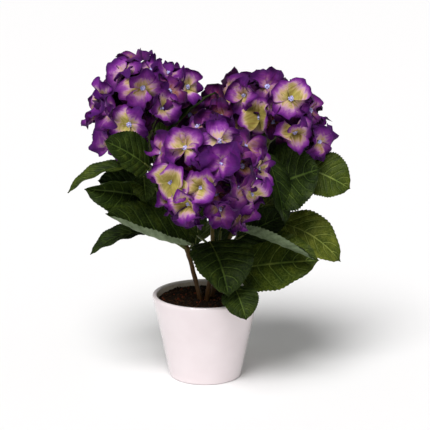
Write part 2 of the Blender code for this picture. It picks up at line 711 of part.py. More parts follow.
def add_bloom(name, blocked, collection):
    """One mophead: a stem, a small core, pedicels and florets in one solid."""
    centre = Vector(BLOOM_CENTRES[name])
    path = stem_path(name)
    axis = (path[-1] - path[-2]).normalized()
    start = path[-1] + axis * NECK_START
    heart = bmesh.new()
    bmesh.ops.create_icosphere(heart, subdivisions=1, radius=BLOOM_CORE, matrix=Matrix.Translation(centre))
    pieces = [add_mesh_object(f"{name}_core", heart, collection)]
    neck = smooth_path([start, *(start + axis * out for out in NECK_STRAIGHT), centre], 5)
    pieces.append(add_tube(f"{name}_neck", neck, STEM_TIP_RADIUS, STEM_TIP_RADIUS, collection, resolution=1))
    for index, floret in enumerate(bloom_florets(name, blocked)):
        pieces.append(add_floret(f"{name}_floret_{index}", floret, collection))
        inner = centre.lerp(floret.place, PEDICEL_START)
        pieces.append(add_pedicel(f"{name}_pedicel_{index}", inner, floret.place, collection))
    return fuse(f"bloom_{name}", pieces, collection)


def main():
    clear_scene()
    parts = bpy.data.collections.new("artificial hydrangea")
    cutters = bpy.data.collections.new("cutters")
    for collection in (parts, cutters):
        bpy.context.scene.collection.children.link(collection)
    finishes = {name: make_material(name, *values) for name, values in FINISHES.items()}
    pot = add_pot(parts)
    pot.data.materials.append(finishes["white glazed ceramic"])
    soil = add_soil(parts)
    soil.data.materials.append(finishes["artificial soil"])
    for name in STEMS:
        path = stem_path(name)
        stem = add_tube(f"stem_{name}", path, STEM_FOOT_RADIUS, STEM_TIP_RADIUS, parts, resolution=2)
        stem.data.materials.append(finishes["moulded stems"])
        cut_socket(soil, name, cutters)
    masses = all_leaf_masses()
    for name, (stem, height, leaves) in masses.items():
        mass = add_leaf_mass(name, stem, height, leaves, parts)
        mass.data.materials.append(finishes["silk leaves"])
    blocked = obstacles(masses)
    for name in BLOOM_CENTRES:
        bloom = add_bloom(name, blocked, parts)
        bloom.data.materials.append(finishes["silk petals"])


main()
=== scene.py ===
import random
from collections import namedtuple
from functools import partial
from math import acos, atan2, cos, exp, pi, radians, sin, sqrt

import bmesh
import bpy
import numpy as np
from mathutils import Matrix, Vector, noise


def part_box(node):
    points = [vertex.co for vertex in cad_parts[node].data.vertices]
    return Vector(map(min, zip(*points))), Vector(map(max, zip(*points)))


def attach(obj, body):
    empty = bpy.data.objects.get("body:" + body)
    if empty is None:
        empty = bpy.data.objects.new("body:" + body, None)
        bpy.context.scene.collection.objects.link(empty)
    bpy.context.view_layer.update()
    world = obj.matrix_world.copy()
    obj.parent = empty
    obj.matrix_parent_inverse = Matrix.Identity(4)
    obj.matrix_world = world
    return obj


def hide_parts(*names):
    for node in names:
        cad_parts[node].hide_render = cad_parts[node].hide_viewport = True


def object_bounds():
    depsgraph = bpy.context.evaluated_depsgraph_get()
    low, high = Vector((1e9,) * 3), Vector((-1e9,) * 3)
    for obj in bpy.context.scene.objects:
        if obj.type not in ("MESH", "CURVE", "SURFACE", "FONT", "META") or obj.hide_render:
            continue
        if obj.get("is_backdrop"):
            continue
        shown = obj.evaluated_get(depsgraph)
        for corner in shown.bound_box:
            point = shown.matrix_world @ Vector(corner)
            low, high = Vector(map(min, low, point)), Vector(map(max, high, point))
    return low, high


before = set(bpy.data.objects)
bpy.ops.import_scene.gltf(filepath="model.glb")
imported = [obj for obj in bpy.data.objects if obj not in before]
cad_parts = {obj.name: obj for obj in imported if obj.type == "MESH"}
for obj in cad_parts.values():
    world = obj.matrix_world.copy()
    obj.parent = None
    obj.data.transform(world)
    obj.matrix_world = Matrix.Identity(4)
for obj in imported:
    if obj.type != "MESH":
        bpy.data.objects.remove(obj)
CAD_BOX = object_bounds()

# Lengths below are in millimetres, and MM turns them into metres.
MM = 0.001
UP = Vector((0, 0, 1))
GAP = 0.3  # between pieces that stand in or against one another
GOLDEN_ANGLE = pi * (3 - sqrt(5))

# Pot, from its solid
POT_LOW, POT_HIGH = (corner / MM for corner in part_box("pot"))
POT_HEIGHT = POT_HIGH.z
POT_RIM_RADIUS = (POT_HIGH.x - POT_LOW.x) / 2
POT_BASE_RADIUS = 41.5
POT_WALL = 5.0
POT_FLOOR = 7.0
POT_RIM_ROUND = 2.2
POT_BASE_ROUND = 2.5
POT_TURN_STEPS = 144
POT_ROUND_STEPS = 8
POT_INSIDE_STEPS = 12
POT_SIDE_STEPS = 24
POT_WOBBLE = 0.0022  # of the thrown wall, as a share of its radius
POT_WOBBLE_SIZE = 34
FOOT_RING = 36.0  # radius of the recess under the pot
FOOT_RECESS = 1.2

# Soil
SOIL_LEVEL = 91.0
SOIL_EDGE_DROP = 1.2  # how much lower the soil is at the pot's wall
SOIL_RELIEF = 1.6  # height of its lumps
SOIL_LUMP = 9  # their size
SOIL_SINK = 0.8  # how far under its level the soil lies
SOIL_GRID = 70
SOIL_RADIUS = 53.5
SOIL_FOOT = 0.9  # radius at the foot of the plug, as a share
SOIL_CRUMBS = 1500
CRUMB_SIZE = (0.6, 2.2)
CRUMB_KINDS = 6
CRUMB_BUMPS = (0.65, 1.2)
CRUMB_MARGIN = 1.5  # from the pot's wall
CRUMB_WEIGHTS = (6, 3, 1)  # of dark foam, brown fibre and reddish bark
STEM_DEPTH = 25.0  # how far the stems are sunk in the soil

# Stems: the points each one passes through, from its foot, and its radius at foot and tip
STEM_FOOT_RADIUS = 2.8
STEM_TIP_RADIUS = 2.1
STEM_POINTS = 13
PATH_SAMPLES = 60  # points along a stem, for keeping florets clear of it
STEMS = {
    "left": ((-6, -8, 91), (-14, 0, 123), (-21, 2, 149), (-32, 5, 180), (-46, 11, 220), (-57, 17, 250)),
    "front": ((2, -9, 91), (5, -9, 115), (8, -13, 150), (8, -22, 176), (7, -34, 196)),
    "right": ((8, 5, 91), (14, 9, 121), (26, 13, 155), (44, 18, 200), (63, 22, 243)),
}
STEM_STATIONS = 110
STEM_SIDES = 20
COLLAR_RISE = 0.7  # how far a collar stands out where a twig leaves
COLLAR_HEIGHT = 3.0
RIB_RELIEF = 0.035  # of the bark's long ribs, and of its knobs, as shares of the radius
KNOB_RELIEF = 0.11

# Blooms: the centre of each head, and how far its florets' centres stand from it
BLOOM_CENTRES = {
    "left": (-64, 28, 303),
    "front": (3, -66, 247),
    "right": (78, 31, 297),
}
BLOOM_RADII = {"left": 56.0, "front": 54.0, "right": 56.0}
BLOOM_FLATNESS = 0.9  # height over width, along the stem
BLOOM_TRIES = 42  # places on a head, of which those too near another floret stay empty
BLOOM_SKIRT = 125.0  # degrees from the crown of the head down to its lowest florets
BLOOM_DEPTH = (0.9, 1.03)  # how far out a floret stands, as a share of the head's radius
BLOOM_GAP = 1.0  # to the plane midway between two heads
# Where a head is flatter than round: planes it stays behind, each a point and the way it faces
BLOOM_LIMITS = {
    "left": (((-19, 22, 352), (117, 62)),),
    "front": (((-38, -101, 203), (-75, -48)),),
    "right": (((89, 30, 347), (180, 76)), ((118, 30, 324), (103, 43)), ((140, 30, 293), (96, 24))),
}
NECK_STRAIGHT = (4, 16)
NECK_SHARE = 0.7  # of the stem's radius, at the neck's end
NECK_PARTING = 9  # the point where it parts into branches

# Key florets: where each stands on its head and where it faces, both as degrees to the right of -Y
# and degrees up, how far out, its turn, and the rise of its petals, in degrees
Key = namedtuple("Key", "at aim out spin cups")
KEY_FLORETS = {
    "left": (
        Key((-4, 33), (-4, 20), 1.0, 45, (50, 32, 4, 30)),
        Key((-19, -9), (-14, -4), 1.0, 2, (8, 10, 8, 6)),
        Key((19, 9), (26, 12), 1.0, 8, (10, 42, 45, 30)),
        Key((-69, 17), (-46, 14), 1.0, 30, (40, 8, 12, 38)),
        Key((72, 30), (38, 22), 1.12, 42, (34, 40, 40, 2)),
        Key((19, 71), (12, 48), 1.0, 20, (10, 18, 30, 12)),
        Key((-51, 52), (-40, 44), 1.0, 15, (8, 30, 12, 40)),
        Key((-66, -40), (-42, -24), 1.02, 48, (38, 10, 2, 34)),
        Key((-43, 2), (-62, 6), 0.98, 10, (44, 20, 30, 40)),
        Key((64, 58), (46, 52), 1.0, 30, (14, 24, 30, 10)),
        Key((92, -8), (-12, 0), 1.0, 20, (4, 4, 4, 2)),
    ),
    "front": (
        Key((-40, 44), (-26, 26), 1.0, 13, (6, 26, 8, 14)),
        Key((28, 56), (12, 26), 1.0, 50, (8, 6, 14, 10)),
        Key((18, 24), (12, 14), 1.0, 22, (40, 34, 30, 42)),
        Key((-45, 1), (-24, 0), 1.0, 10, (44, 14, 0, 46)),
        Key((-6, -3), (-12, 2), 1.0, 24, (44, 14, 0, 50)),
        Key((-22, -22), (-24, -20), 1.0, 45, (30, 34, 66, 50)),
        Key((61, -17), (34, -6), 1.0, 2, (26, 22, 0, -12)),
        Key((15, -29), (14, -14), 1.0, -22, (48, 50, 44, -4)),
        Key((-88, 27), (-56, 22), 1.0, 35, (24, 6, 20, 34)),
        Key((80, 9), (50, 8), 1.0, 15, (12, 44, 40, 10)),
        Key((-30, -46), (-20, -30), 1.0, 45, (50, 60, 0, 60)),
        Key((72, 38), (48, 30), 1.0, 20, (10, 36, 40, 16)),
        Key((-150, 68), (-60, 60), 1.0, 30, (20, 10, 24, 14)),
    ),
    "right": (
        Key((18, 26), (10, 16), 1.0, 4, (10, 8, 12, 8)),
        Key((-22, 4), (-16, 6), 1.0, 50, (8, 58, 2, 50)),
        Key((21, -12), (16, 6), 1.0, 46, (58, 12, 26, 10)),
        Key((66, -28), (30, -8), 1.08, 60, (20, 40, 8, -4)),
        Key((-44, 28), (-32, 20), 1.0, 42, (36, 44, 8, 30)),
        Key((-80, 25), (-46, 18), 1.0, 20, (30, 12, 10, 36)),
        Key((-78, -2), (-28, -2), 1.0, 5, (26, 14, 10, 24)),
        Key((-16, 45), (-10, 36), 1.0, 15, (20, 30, 10, 24)),
        Key((53, 10), (48, 12), 1.0, 40, (30, 40, 20, 6)),
        Key((-15, 60), (-8, 46), 0.9, 30, (12, 20, 16, 30)),
    ),
}
FLORET_APART = 24.5  # between the centres of neighbouring florets
FLORET_CLEAR = 4.5  # from the points of leaves and stems
FLORET_RADIUS = 24.0
FLORET_NOTCH = 0.5  # how deep the notches between its petals are, as a share
FLORET_NARROW = 8  # how narrow they are
FLORET_POINTS = 12
FLORET_SIZES = (0.94, 1.06)
FLORET_CUP = (4, 48)
FLORET_TILT = 0.35
FLORET_SHRINK = (1.0, 0.95, 0.9, 0.85, 0.8)
INNER_TRIES = 90  # places for the florets under the outer ones, which close a head's gaps
INNER_DEPTH = (0.42, 0.8)
INNER_APART = 17.0
INNER_CLEAR = 2.5
INNER_TILT = 0.45
INNER_CUP = (10, 50)
INNER_SIZES = (0.8, 0.95)
FILL_SIZE = 0.9
PETAL_GRIDS = {"outer": 8, "inner": 5}  # squares across a petal
PLAIN_FLUSH = (0.0, 0.32)  # of florets whose dye isn't known
# Painted shade of florets whose shade isn't listed: the outer ones are darkened at random, partly as their
# own tone, and the inner ones, deep in the head, are painted darkest
PLAIN_SHADE = {"outer": (0.15, 0.7), "inner": (0.0, 0.15)}
FLUSH_STRAY = 0.2  # between the petals of one floret
SHADE_STRAY = 0.1
PETAL_THICKNESS = 0.35
PETAL_BELLY = 0.6  # how far out a petal is widest, and how wide it is at its foot, as shares
PETAL_FOOT = 0.35
CRUSH_SIZE = 9  # of the dents in the cloth
WRINKLE_SIZE = 4.4  # of the finer wrinkles over them
WRINKLE = 1.3
# How petals are cut, bent, folded and crumpled, each between two extremes, apart from the waves, one of three
PETAL_WAYS = {
    "length": (0.94, 1.08), "width": (0.52, 0.66), "cup": (-6, 6), "bow": (-0.05, 0.35), "droop": (-0.1, 0.5),
    "trough": (-0.6, 0.8), "pleat": (0.6, 1.9), "folds": (6, 10), "ruffle": (1.4, 3.6), "waves": (3, 4, 5),
    "lip": (-16, 18), "crush": (3.0, 7.0), "bite": (0.08, 0.26), "seed": (0, 90), "start": (0, 2 * pi),
    "twist": (0.0, 0.34), "turn": (-0.5, 0.5)}
BEAD_COUNTS = (6, 7)
BEAD_RING = 2.1
BEAD_HEIGHTS = (2.9, 1.8)  # of the middle bead, and of the ring round it
BEAD_SIZE = 1.5
BEAD_SIZES = (1.1, 1.4)
PEDICEL_RADIUS = 0.9
PEDICEL_FLARE = 1.5
BRANCH_COUNT = 9
BRANCH_REACH = 0.42
BRANCH_RADII = (1.5, 1.0)

# Leaves: the powers that shape their outline at base and tip, and their least width
LEAF_SHOULDER = 0.62
LEAF_TAPER = 0.78
LEAF_FULLNESS = 2.61
LEAF_END = 2.0
LEAF_SAMPLES = (10, 4)
PETIOLE_RADIUS = 1.3
PETIOLE_START = 0.6
PETIOLE_RISE = 1.5
PETIOLE_POINTS = 4
TWIG_RADIUS = 1.9
TWIG_LENGTH = 9.0
LIMB_SHARES = (1.25, 0.9)  # of its radius, at the start and at the end of a twig or petiole
LIMB_POINTS = 25
SHOOT_POINTS = 13  # along necks, branches and pedicels
TUBE_SIDES = 8
RIB_RADII = (1.0, 0.25)
RIB_REACH = 0.82  # of the rib under a blade
RIB_DROP = 0.9
MIDRIB_SINK = 0.14
BLADE_STATIONS = 60
BLADE_COLUMNS = 16
BLADE_THICKNESS = 0.4
BLADE_STEP = 0.02  # either side of a point, to find which way the blade faces
TOOTH = 0.045  # how far a tooth of the margin stands out, as a share of the half width
TOOTH_STATIONS = 3
TOOTHED = (0.04, 0.97)  # where along a leaf its teeth start and end
QUILT = 0.9  # how far the blade swells between its veins
GROOVE = 0.5  # how far the midrib is sunk, and over what share of the half width
GROOVE_WIDTH = 0.08
MARGIN_WAVE = 1.1
VEIN_PAIRS = 7
VEIN_SLANT = 0.30  # how far towards the tip a side vein runs on its way to the margin
VEIN_BEND = 1.25

# A leaf has a base, a tip, a width, a roll about its midrib, an arch over its length, and for
# its left and right halves the fold at the midrib and the further curl of the blade, in degrees
Leaf = namedtuple("Leaf", "base tip width roll arch left right", defaults=((8, 4), (8, 4)))
Floret = namedtuple("Floret", "place aim spin cups radius")

LEAF_MASSES = {
    "left_low": ("left", 147, (
        Leaf((-14, -22, 159), (-107, -60, 203), 68, -50, -0.04, (14, 95), (10, 5)),
        Leaf((-64, 2, 166), (-128, -18, 146), 30, -20, 0.16, (12, 6), (12, 6)),
    )),
    "left_mid": ("left", 190, (
        Leaf((-66, -8, 210), (-131, -42, 226), 62, -60, 0.06, (8, 0), (62, 50)),
        Leaf((-67, -28, 241), (-64, -38, 210), 30, 20, 0.05, (25, 10), (25, 10)),
    )),
    "left_top": ("left", 232, (
        Leaf((-78, 2, 240), (-152, -12, 215), 26, -20, 0.16, (16, 6), (16, 6)),
        Leaf((-60, -42, 250), (-106, -72, 285), 50, -62, 0.06, (10, 5), (10, 5)),
    )),
    "front_low": ("front", 140, (
        Leaf((5, -27, 163), (26, -76, 114), 78, 4, 0.12, (28, -8), (28, -8)),
        Leaf((32, -48, 118), (45, -76, 88), 42, 12, 0.10),
        Leaf((17, -5, 170), (30, -7, 206), 30, 82, 0.05, (10, 4), (10, 4)),
    )),
    "right_low": ("right", 119, (
        Leaf((36, -8, 127), (126, -38, 145), 80, 44, 0.03, (6, 6), (6, 6)),
    )),
    "right_mid": ("right", 160, (
        Leaf((79, 34, 171), (154, 14, 129), 54, 42, 0.20),
        Leaf((38, -10, 173), (119, -60, 152), 56, 42, 0.10, (-48, -20), (12, 140)),
        Leaf((36, 4, 158), (96, 0, 190), 40, 58, 0.06),
    )),
    "right_top": ("right", 210, (
        Leaf((70, 0, 219), (127, -14, 243), 84, 56, 0.02, (8, 2), (8, 2)),
        Leaf((113, 22, 237), (163, 10, 215), 56, 55, 0.10, (8, 2), (8, 2)),
        Leaf((66, -12, 262), (88, -32, 184), 38, 0, 0.05, (12, 4), (12, 4)),
    )),
    "middle": ("left", 205, (
        Leaf((-43, -2, 277), (11, 14, 323), 32, -8, 0.06, (10, 0), (10, 0)),
        Leaf((-46, -36, 266), (-48, -50, 302), 17, 180, -0.04, (-12, 0), (-12, 0)),
    )),
}

# Masses that follow the rule: stem, height, heading in degrees to the right of -Y, and leaves
RULED_MASSES = {
    "back_left_low": ("left", 140, 182, 2),
    "back_right_low": ("right", 138, 138, 2),
    "back_left_mid": ("left", 180, 205, 2),
    "back_right_mid": ("right", 176, 155, 2),
    "back_left_top": ("left", 222, 184, 2),
    "back_right_top": ("right", 222, 165, 2),
}
RULED_SPREAD = 42.0  # degrees between a mass's leaves, and how far each may stray from that
RULED_STRAY = 9
RULED_TRIES = 8
RULED_CURL = 5
# Between which extremes a ruled leaf lies: its base's place, its bend aside and up, its size, and its folds
RULED_WAYS = {
    "out": (28, 40), "up": (2, 16), "bend": (-10, 10), "droop": (-20, 14), "length": (76, 92),
    "left": (8, 18), "right": (8, 18), "width": (50, 62), "roll": (-14, 14), "arch": (0.08, 0.16)}
LEAF_APART = 7.0

# Where a sheet's face and back have their middles in its cell of the map for baking, and how far they reach
BAKE_FACE = 0.26
BAKE_BACK = 0.74
BAKE_REACH = 0.215
BAKE_RIM_REACH = 0.235

# Kinds of node used over and over
NOISE = "ShaderNodeTexNoise"
RAMP = "ShaderNodeValToRGB"
RANGE = "ShaderNodeMapRange"

# Finishes of clouds of one size: sockets, size in millimetres, detail, dyes, and strength and depth of relief
CLOUDED = {
    # The thinner mouldings under leaves and florets, with a brown wash over the green
    "green polythene": (
        {"Roughness": 0.5}, 5, 3.0, ((0.3, "4d4518"), (0.5, "5a6424"), (0.7, "3d5220")), 0.3, 0.5),
    # Tiny moulded stamens, pale lavender with a pearly coat
    "pearl bead plastic": ({"Roughness": 0.35, "Coat Weight": 0.3, "Subsurface Weight": 0.1,
                            "Subsurface Scale": 1 * MM}, 1.5, 1.0, ((0.35, "8f8bd6"), (0.6, "c9c6f2"))),
    # The pot's inner wall, thinly glazed over a beige body, so it is duller and warmer
    "thinly glazed biscuit": ({"Roughness": 0.4}, 4, 4.0, ((0.3, "c9b9aa"), (0.7, "ddd0c6"))),
}
# The soil's bed and its crumbs, of dyed foam, fibre and bark, rough and matte right through
EARTHS = {
    "bed of dyed foam": ((0.35, "100903"), (0.7, "22140a")),
    "dark foam crumb": ((0.35, "140b05"), (0.7, "2e1c0f")),
    "brown fibre crumb": ((0.35, "2b1a0b"), (0.7, "523620")),
    "reddish bark crumb": ((0.35, "4a2012"), (0.7, "7a3a22")),
}
CLOUDED |= {name: ({"Roughness": 0.95, "Specular IOR Level": 0.15}, 1.6, 5.0, dyes, 0.8, 0.6)
            for name, dyes in EARTHS.items()}

# The two sides of a leaf: roughness, dyes of the ground and dyes of the veins. The face is printed a
# deep green with yellow veins, and the back is left pale and duller
LEAF_SIDES = (
    ("printed polyester leaf", 0.46, ((0.0, "0c1605"), (0.3, "1f2c0b"), (0.6, "3a470f"), (1.0, "6b7226")),
     ((0.0, "3a4f1c"), (0.35, "5d7030"), (1.0, "b3b95c"))),
    ("unprinted polyester back", 0.6, ((0.0, "4c583e"), (0.35, "69765a"), (0.65, "7f8d6e"), (1.0, "98a688")),
     ((0.0, "617050"), (0.35, "7f8f70"), (1.0, "aab897"))),
)

# Leaves of each mass from dark, 0, to bright, 1: partly their own tone, and partly painted shade, darker for
# leaves that lie under the blooms
PLAIN_TONE = (0.2, 0.6)
LEAF_TONES_AND_SHADE = {
    "left_low": (0.25, 0.15),
    "left_mid": (0.2, 0.3),
    "left_top": (0.35, 0.25),
    "front_low": (0.2, 0.3, 0.1),
    "right_low": (0.45,),
    "right_mid": (0.7, 0.15, 0.1),
    "right_top": (0.2, 0.5, 0.1),
    "middle": (0.2, 0.3),
}

# Florets and small leaves that close the plant further in, on the same limbs, too fine for its solids
FILL_FLORETS = {
    "front": (Key((174, 56), (0, 45), 1.0, 20, (20, 30, 40, 30)),),
    "right": (Key((-89, 13), (-40, 10), 1.17, 30, (20, 30, 10, 30)),
              Key((-92, 38), (-40, 30), 0.86, 45, (76, 50, 30, 50)),
              Key((-64, 1), (-20, 10), 1.2, 50, (20, 50, 30, 40))),
}
YOUNG_LEAVES = {
    "left_mid": (Leaf((-66, 6, 222), (-120, 2, 226), 36, -55, 0.04),
                 Leaf((-50, -8, 196), (-56, -12, 228), 26, -123, 0.04)),
    "front_low": (Leaf((-8, 12, 160), (-12, 14, 206), 24, -66, 0.04),
                  Leaf((16, 10, 148), (22, 14, 198), 30, 84, 0.04)),
    "right_top": (Leaf((60, -6, 238), (66, -14, 284), 26, 84, 0.04),),
}
# Painted shade: the young leaves, further in, are given dark tones
YOUNG_TONE = (0.05, 0.3)
BUD = ((8, -13, 150), (11, -16, 155), (13, -17, 163))  # a shoot on the front stem
BUD_RADII = (0.9, 1.2, 1.9, 2.1, 1.2, 0.3)

# The first florets' dye and painted shade: flush from violet, 0, to yellow-green, 1, and shade from dark to
# light, set to how lit each floret is, so partly its own tone and partly painted shade
FLORET_DYES_AND_SHADES = {
    "left": ((0.4, 0.7), (0.38, 1.0), (0.25, 0.75), (0.2, 1.0), (0.38, 0.95), (0.05, 0.75),
             (0.2, 0.75), (0.1, 0.9), (0.1, 0.6), (0.0, 0.65), (0.05, 0.25)),
    "front": ((0.25, 0.8), (0.22, 1.0), (0.05, 0.6), (0.8, 0.85), (0.5, 0.8), (0.55, 0.8), (0.3, 0.95),
              (0.15, 0.5), (0.05, 0.5), (0.35, 0.8), (0.0, 0.55), (0.1, 0.3), (0.0, 0.4)),
    "right": ((0.42, 0.75), (0.7, 0.7), (0.4, 0.6), (0.15, 0.6), (0.3, 0.6), (0.4, 0.5), (0.0, 0.3),
              (0.0, 0.4), (0.1, 0.4), (0.0, 0.45)),
}

# Floor and light
FLOOR_SIZE = 60.0  # metres
KEY_STRENGTH = 3.15
KEY_SOFTNESS = 36
KEY_FROM = (-20, 57)  # degrees to the right of the front, and up
SURROUND = 0.3

# Camera
CAMERA_PLACE = (11.04364, -1532.91664, 554.43928)
CAMERA_DOWN = 13.473
CAMERA_LENS = 117.656


def linear(code):
    """An sRGB hex colour as linear red, green and blue, opaque."""
    shares = [int(code[place:place + 2], 16) / 255 for place in (0, 2, 4)]
    return (*(c / 12.92 if c <= 0.04045 else ((c + 0.055) / 1.055) ** 2.4 for c in shares), 1.0)


def add_node(tree, kind, inputs=(), output=None, stops=(), **settings):
    """Add a node by its kind, or by its operation when it is a sum, with its settings and its ramp stops.

    An input is a value, or the socket that feeds it.
    """
    if not kind.startswith("ShaderNode"):
        kind, settings["operation"] = "ShaderNodeMath", kind
    made = tree.nodes.new(kind)
    for name, value in settings.items():
        setattr(made, name, value)
    for name, value in inputs.items() if isinstance(inputs, dict) else enumerate(inputs):
        if isinstance(value, bpy.types.NodeSocket):
            tree.links.new(value, made.inputs[name])
        else:
            made.inputs[name].default_value = value
    for index, (place, code) in enumerate(stops):
        ramp = made.color_ramp.elements
        stop = ramp[index] if index < len(ramp) else ramp.new(1.0)
        stop.position = place
        stop.color = linear(code)
    if output:
        return made.outputs[output]
    return next(socket for socket in made.outputs if socket.enabled)


def new_material(name, settings):
    """A Principled material with what is the same all over set on its sockets, and what adds its nodes."""
    material = bpy.data.materials.new(name)
    material.use_nodes = True
    for socket, value in settings.items():
        material.node_tree.nodes["Principled BSDF"].inputs[socket].default_value = value
    return material, partial(add_node, material.node_tree)


def finished(material, colour, height=None, strength=0.0, depth=0.0):
    """Feed a material its colour, and its relief from a height whose depth is in millimetres."""
    tree = material.node_tree
    tree.links.new(colour, tree.nodes["Principled BSDF"].inputs["Base Color"])
    if height is not None:
        relief = add_node(tree, "ShaderNodeBump", {
            "Height": height, "Strength": strength, "Distance": depth * MM})
        tree.links.new(relief, tree.nodes["Principled BSDF"].inputs["Normal"])
    return material


def clouded_material(name, settings, size, detail, dyes, strength=0.0, depth=0.0):
    """A finish whose dyes and relief follow clouds of one size, in millimetres, all through the body."""
    material, node = new_material(name, settings)
    body = node("ShaderNodeTexCoord", output="Object")
    cloud = node(NOISE, {"Vector": body, "Scale": 1 / (size * MM), "Detail": detail})
    return finished(
        material, node(RAMP, {"Fac": cloud}, stops=dyes), cloud if depth else None, strength, depth)


def petal_silk():
    """Polyester silk, pressed and dip-dyed: cream green at the heart, bleeding through lilac to violet, with
    painted shade that darkens and reddens each petal by its shade value.
    """
    material, node = new_material("dip-dyed polyester silk", {
        "Roughness": 0.6, "Specular IOR Level": 0.12, "Sheen Weight": 0.05, "Sheen Roughness": 0.4})
    body = node("ShaderNodeTexCoord", output="Object")
    cloud = node(NOISE, {"Vector": body, "Scale": 1 / (7 * MM), "Detail": 4.0})
    flush, shade = (
        node("ShaderNodeAttribute", output="Fac", attribute_name=name) for name in ("flush", "shade"))
    x = node("ShaderNodeSeparateXYZ", {"Vector": node("ShaderNodeUVMap", uv_map="petal")}, output="X")
    along = x.node.outputs["Y"]
    across, lengthwise = (node("MULTIPLY_ADD", (side, 2.0, -1.0)) for side in (x, along))
    rim = node("MULTIPLY", (across, across))
    rim = node("MULTIPLY_ADD", (lengthwise, lengthwise, rim))
    edge = node("POWER", (rim, 2.5))
    fan = node("ADD", (along, 0.12))
    fan = node("MULTIPLY", (across, fan))
    ribs = node("ShaderNodeCombineXYZ", {"X": fan, "Y": along, "Z": shade})
    ribs = node("ShaderNodeMapping", {"Vector": ribs, "Scale": (13.0, 1.6, 40.0)})
    ribs = node(NOISE, {"Vector": ribs, "Scale": 1.0, "Detail": 3.0, "Roughness": 0.6})
    dye = along
    for source, share in ((edge, 0.38), (cloud, 0.45), (ribs, 0.55), (flush, -0.75)):
        dye = node("MULTIPLY_ADD", (source, share, dye))
    dye = node("ADD", (dye, -0.40))
    colour = node(RAMP, {"Fac": dye}, stops=(
        (0.00, "a4994c"), (0.12, "b8aa66"), (0.24, "ccb08c"), (0.37, "c399b6"), (0.50, "944ba2"),
        (0.68, "702286"), (1.0, "480f60")))
    # Painted shade: the colour is multiplied towards a dark wine by a factor that grows as the petal's shade
    # value falls, and is lightened along the streaks.
    streaks_and_painted_shade = node("MULTIPLY_ADD", (ribs, -1.1, 1.38))
    streaks_and_painted_shade = node("MULTIPLY_ADD", (shade, -0.82, streaks_and_painted_shade), use_clamp=True)
    colour = node("ShaderNodeMix", {"Factor": streaks_and_painted_shade, "A": colour, "B": linear("8c0a56")}, data_type="RGBA",
                  blend_type="MULTIPLY")
    return finished(material, colour, ribs, 0.7, 0.8)


def leaf_ribs(node):
    """The veins of a leaf as a mask, and the panels that swell between them, from the blade's own map."""
    smooth = {"interpolation_type": "SMOOTHSTEP"}
    place = node("ShaderNodeUVMap", uv_map="blade")
    along = node("ShaderNodeSeparateXYZ", {"Vector": place}, output="X")
    across = node("MULTIPLY_ADD", (along.node.outputs["Y"], 2.0, -1.0))
    across = node("ABSOLUTE", (across,))
    bent = node("POWER", (across, VEIN_BEND))
    wander = node(NOISE, {"Vector": place, "Scale": 5.0, "Detail": 1.0})
    turn = along
    for source, share in ((wander, 0.05), (bent, -VEIN_SLANT)):
        turn = node("MULTIPLY_ADD", (source, share, turn))
    turn = node("MULTIPLY_ADD", (turn, VEIN_PAIRS, 2.0 * VEIN_PAIRS))
    near = node("PINGPONG", (turn, 0.5))
    veins = node(RANGE, {"Value": near, "From Min": 0.05, "From Max": 0.02}, **smooth)
    fading = node(RANGE, {"Value": across, "From Min": 0.98, "From Max": 0.5})
    veins = node("MULTIPLY", (veins, fading))
    midrib = node(RANGE, {"Value": across, "From Min": 0.05, "From Max": 0.015}, **smooth)
    mesh = node("ShaderNodeMapping", {"Vector": place, "Scale": (30.0, 20.0, 1.0)})
    mesh = node("ShaderNodeTexVoronoi", {"Vector": mesh, "Scale": 1.0}, output="Distance",
                feature="DISTANCE_TO_EDGE")
    mesh = node(RANGE, {"Value": mesh, "From Min": 0.10, "From Max": 0.0, "To Max": 0.3})
    ribs = node("MAXIMUM", (veins, midrib))
    ribs = node("MAXIMUM", (ribs, mesh))
    swell = node(RANGE, {"Value": near, "From Max": 0.3}, **smooth)
    beside = node(RANGE, {"Value": across, "From Max": 0.35})
    return ribs, node("MULTIPLY", (swell, beside))


def leaf_material(name, roughness, greens, veins):
    """One side of a polyester leaf: two ramps, from dark dye to light, for its ground and its veins."""
    material, node = new_material(name, {"Roughness": roughness, "Specular IOR Level": 0.08})
    ribs, panels = leaf_ribs(node)
    body = node("ShaderNodeTexCoord", output="Object")
    cloud = node(NOISE, {"Vector": body, "Scale": 1 / (15 * MM), "Detail": 5.0, "Roughness": 0.65})
    tone = node("ShaderNodeAttribute", output="Fac", attribute_name="tone")
    # The cloud varies the tone at random, and the panels add painted shade: lighter in the middle of each
    # swelling between the veins, darker beside the sunk veins.
    for source, share in ((cloud, 1.1), (panels, 0.12)):
        tone = node("MULTIPLY_ADD", (source, share, tone))
    tone = node("ADD", (tone, -0.60))
    ground, lines = (node(RAMP, {"Fac": tone}, stops=dyes) for dyes in (greens, veins))
    share = node("MULTIPLY", (ribs, 0.9))
    colour = node("ShaderNodeMix", {"Factor": share, "A": ground, "B": lines}, data_type="RGBA")
    relief = node("MULTIPLY_ADD", (panels, 2.0, ribs))
    return finished(material, colour, relief, 0.6, 0.5)


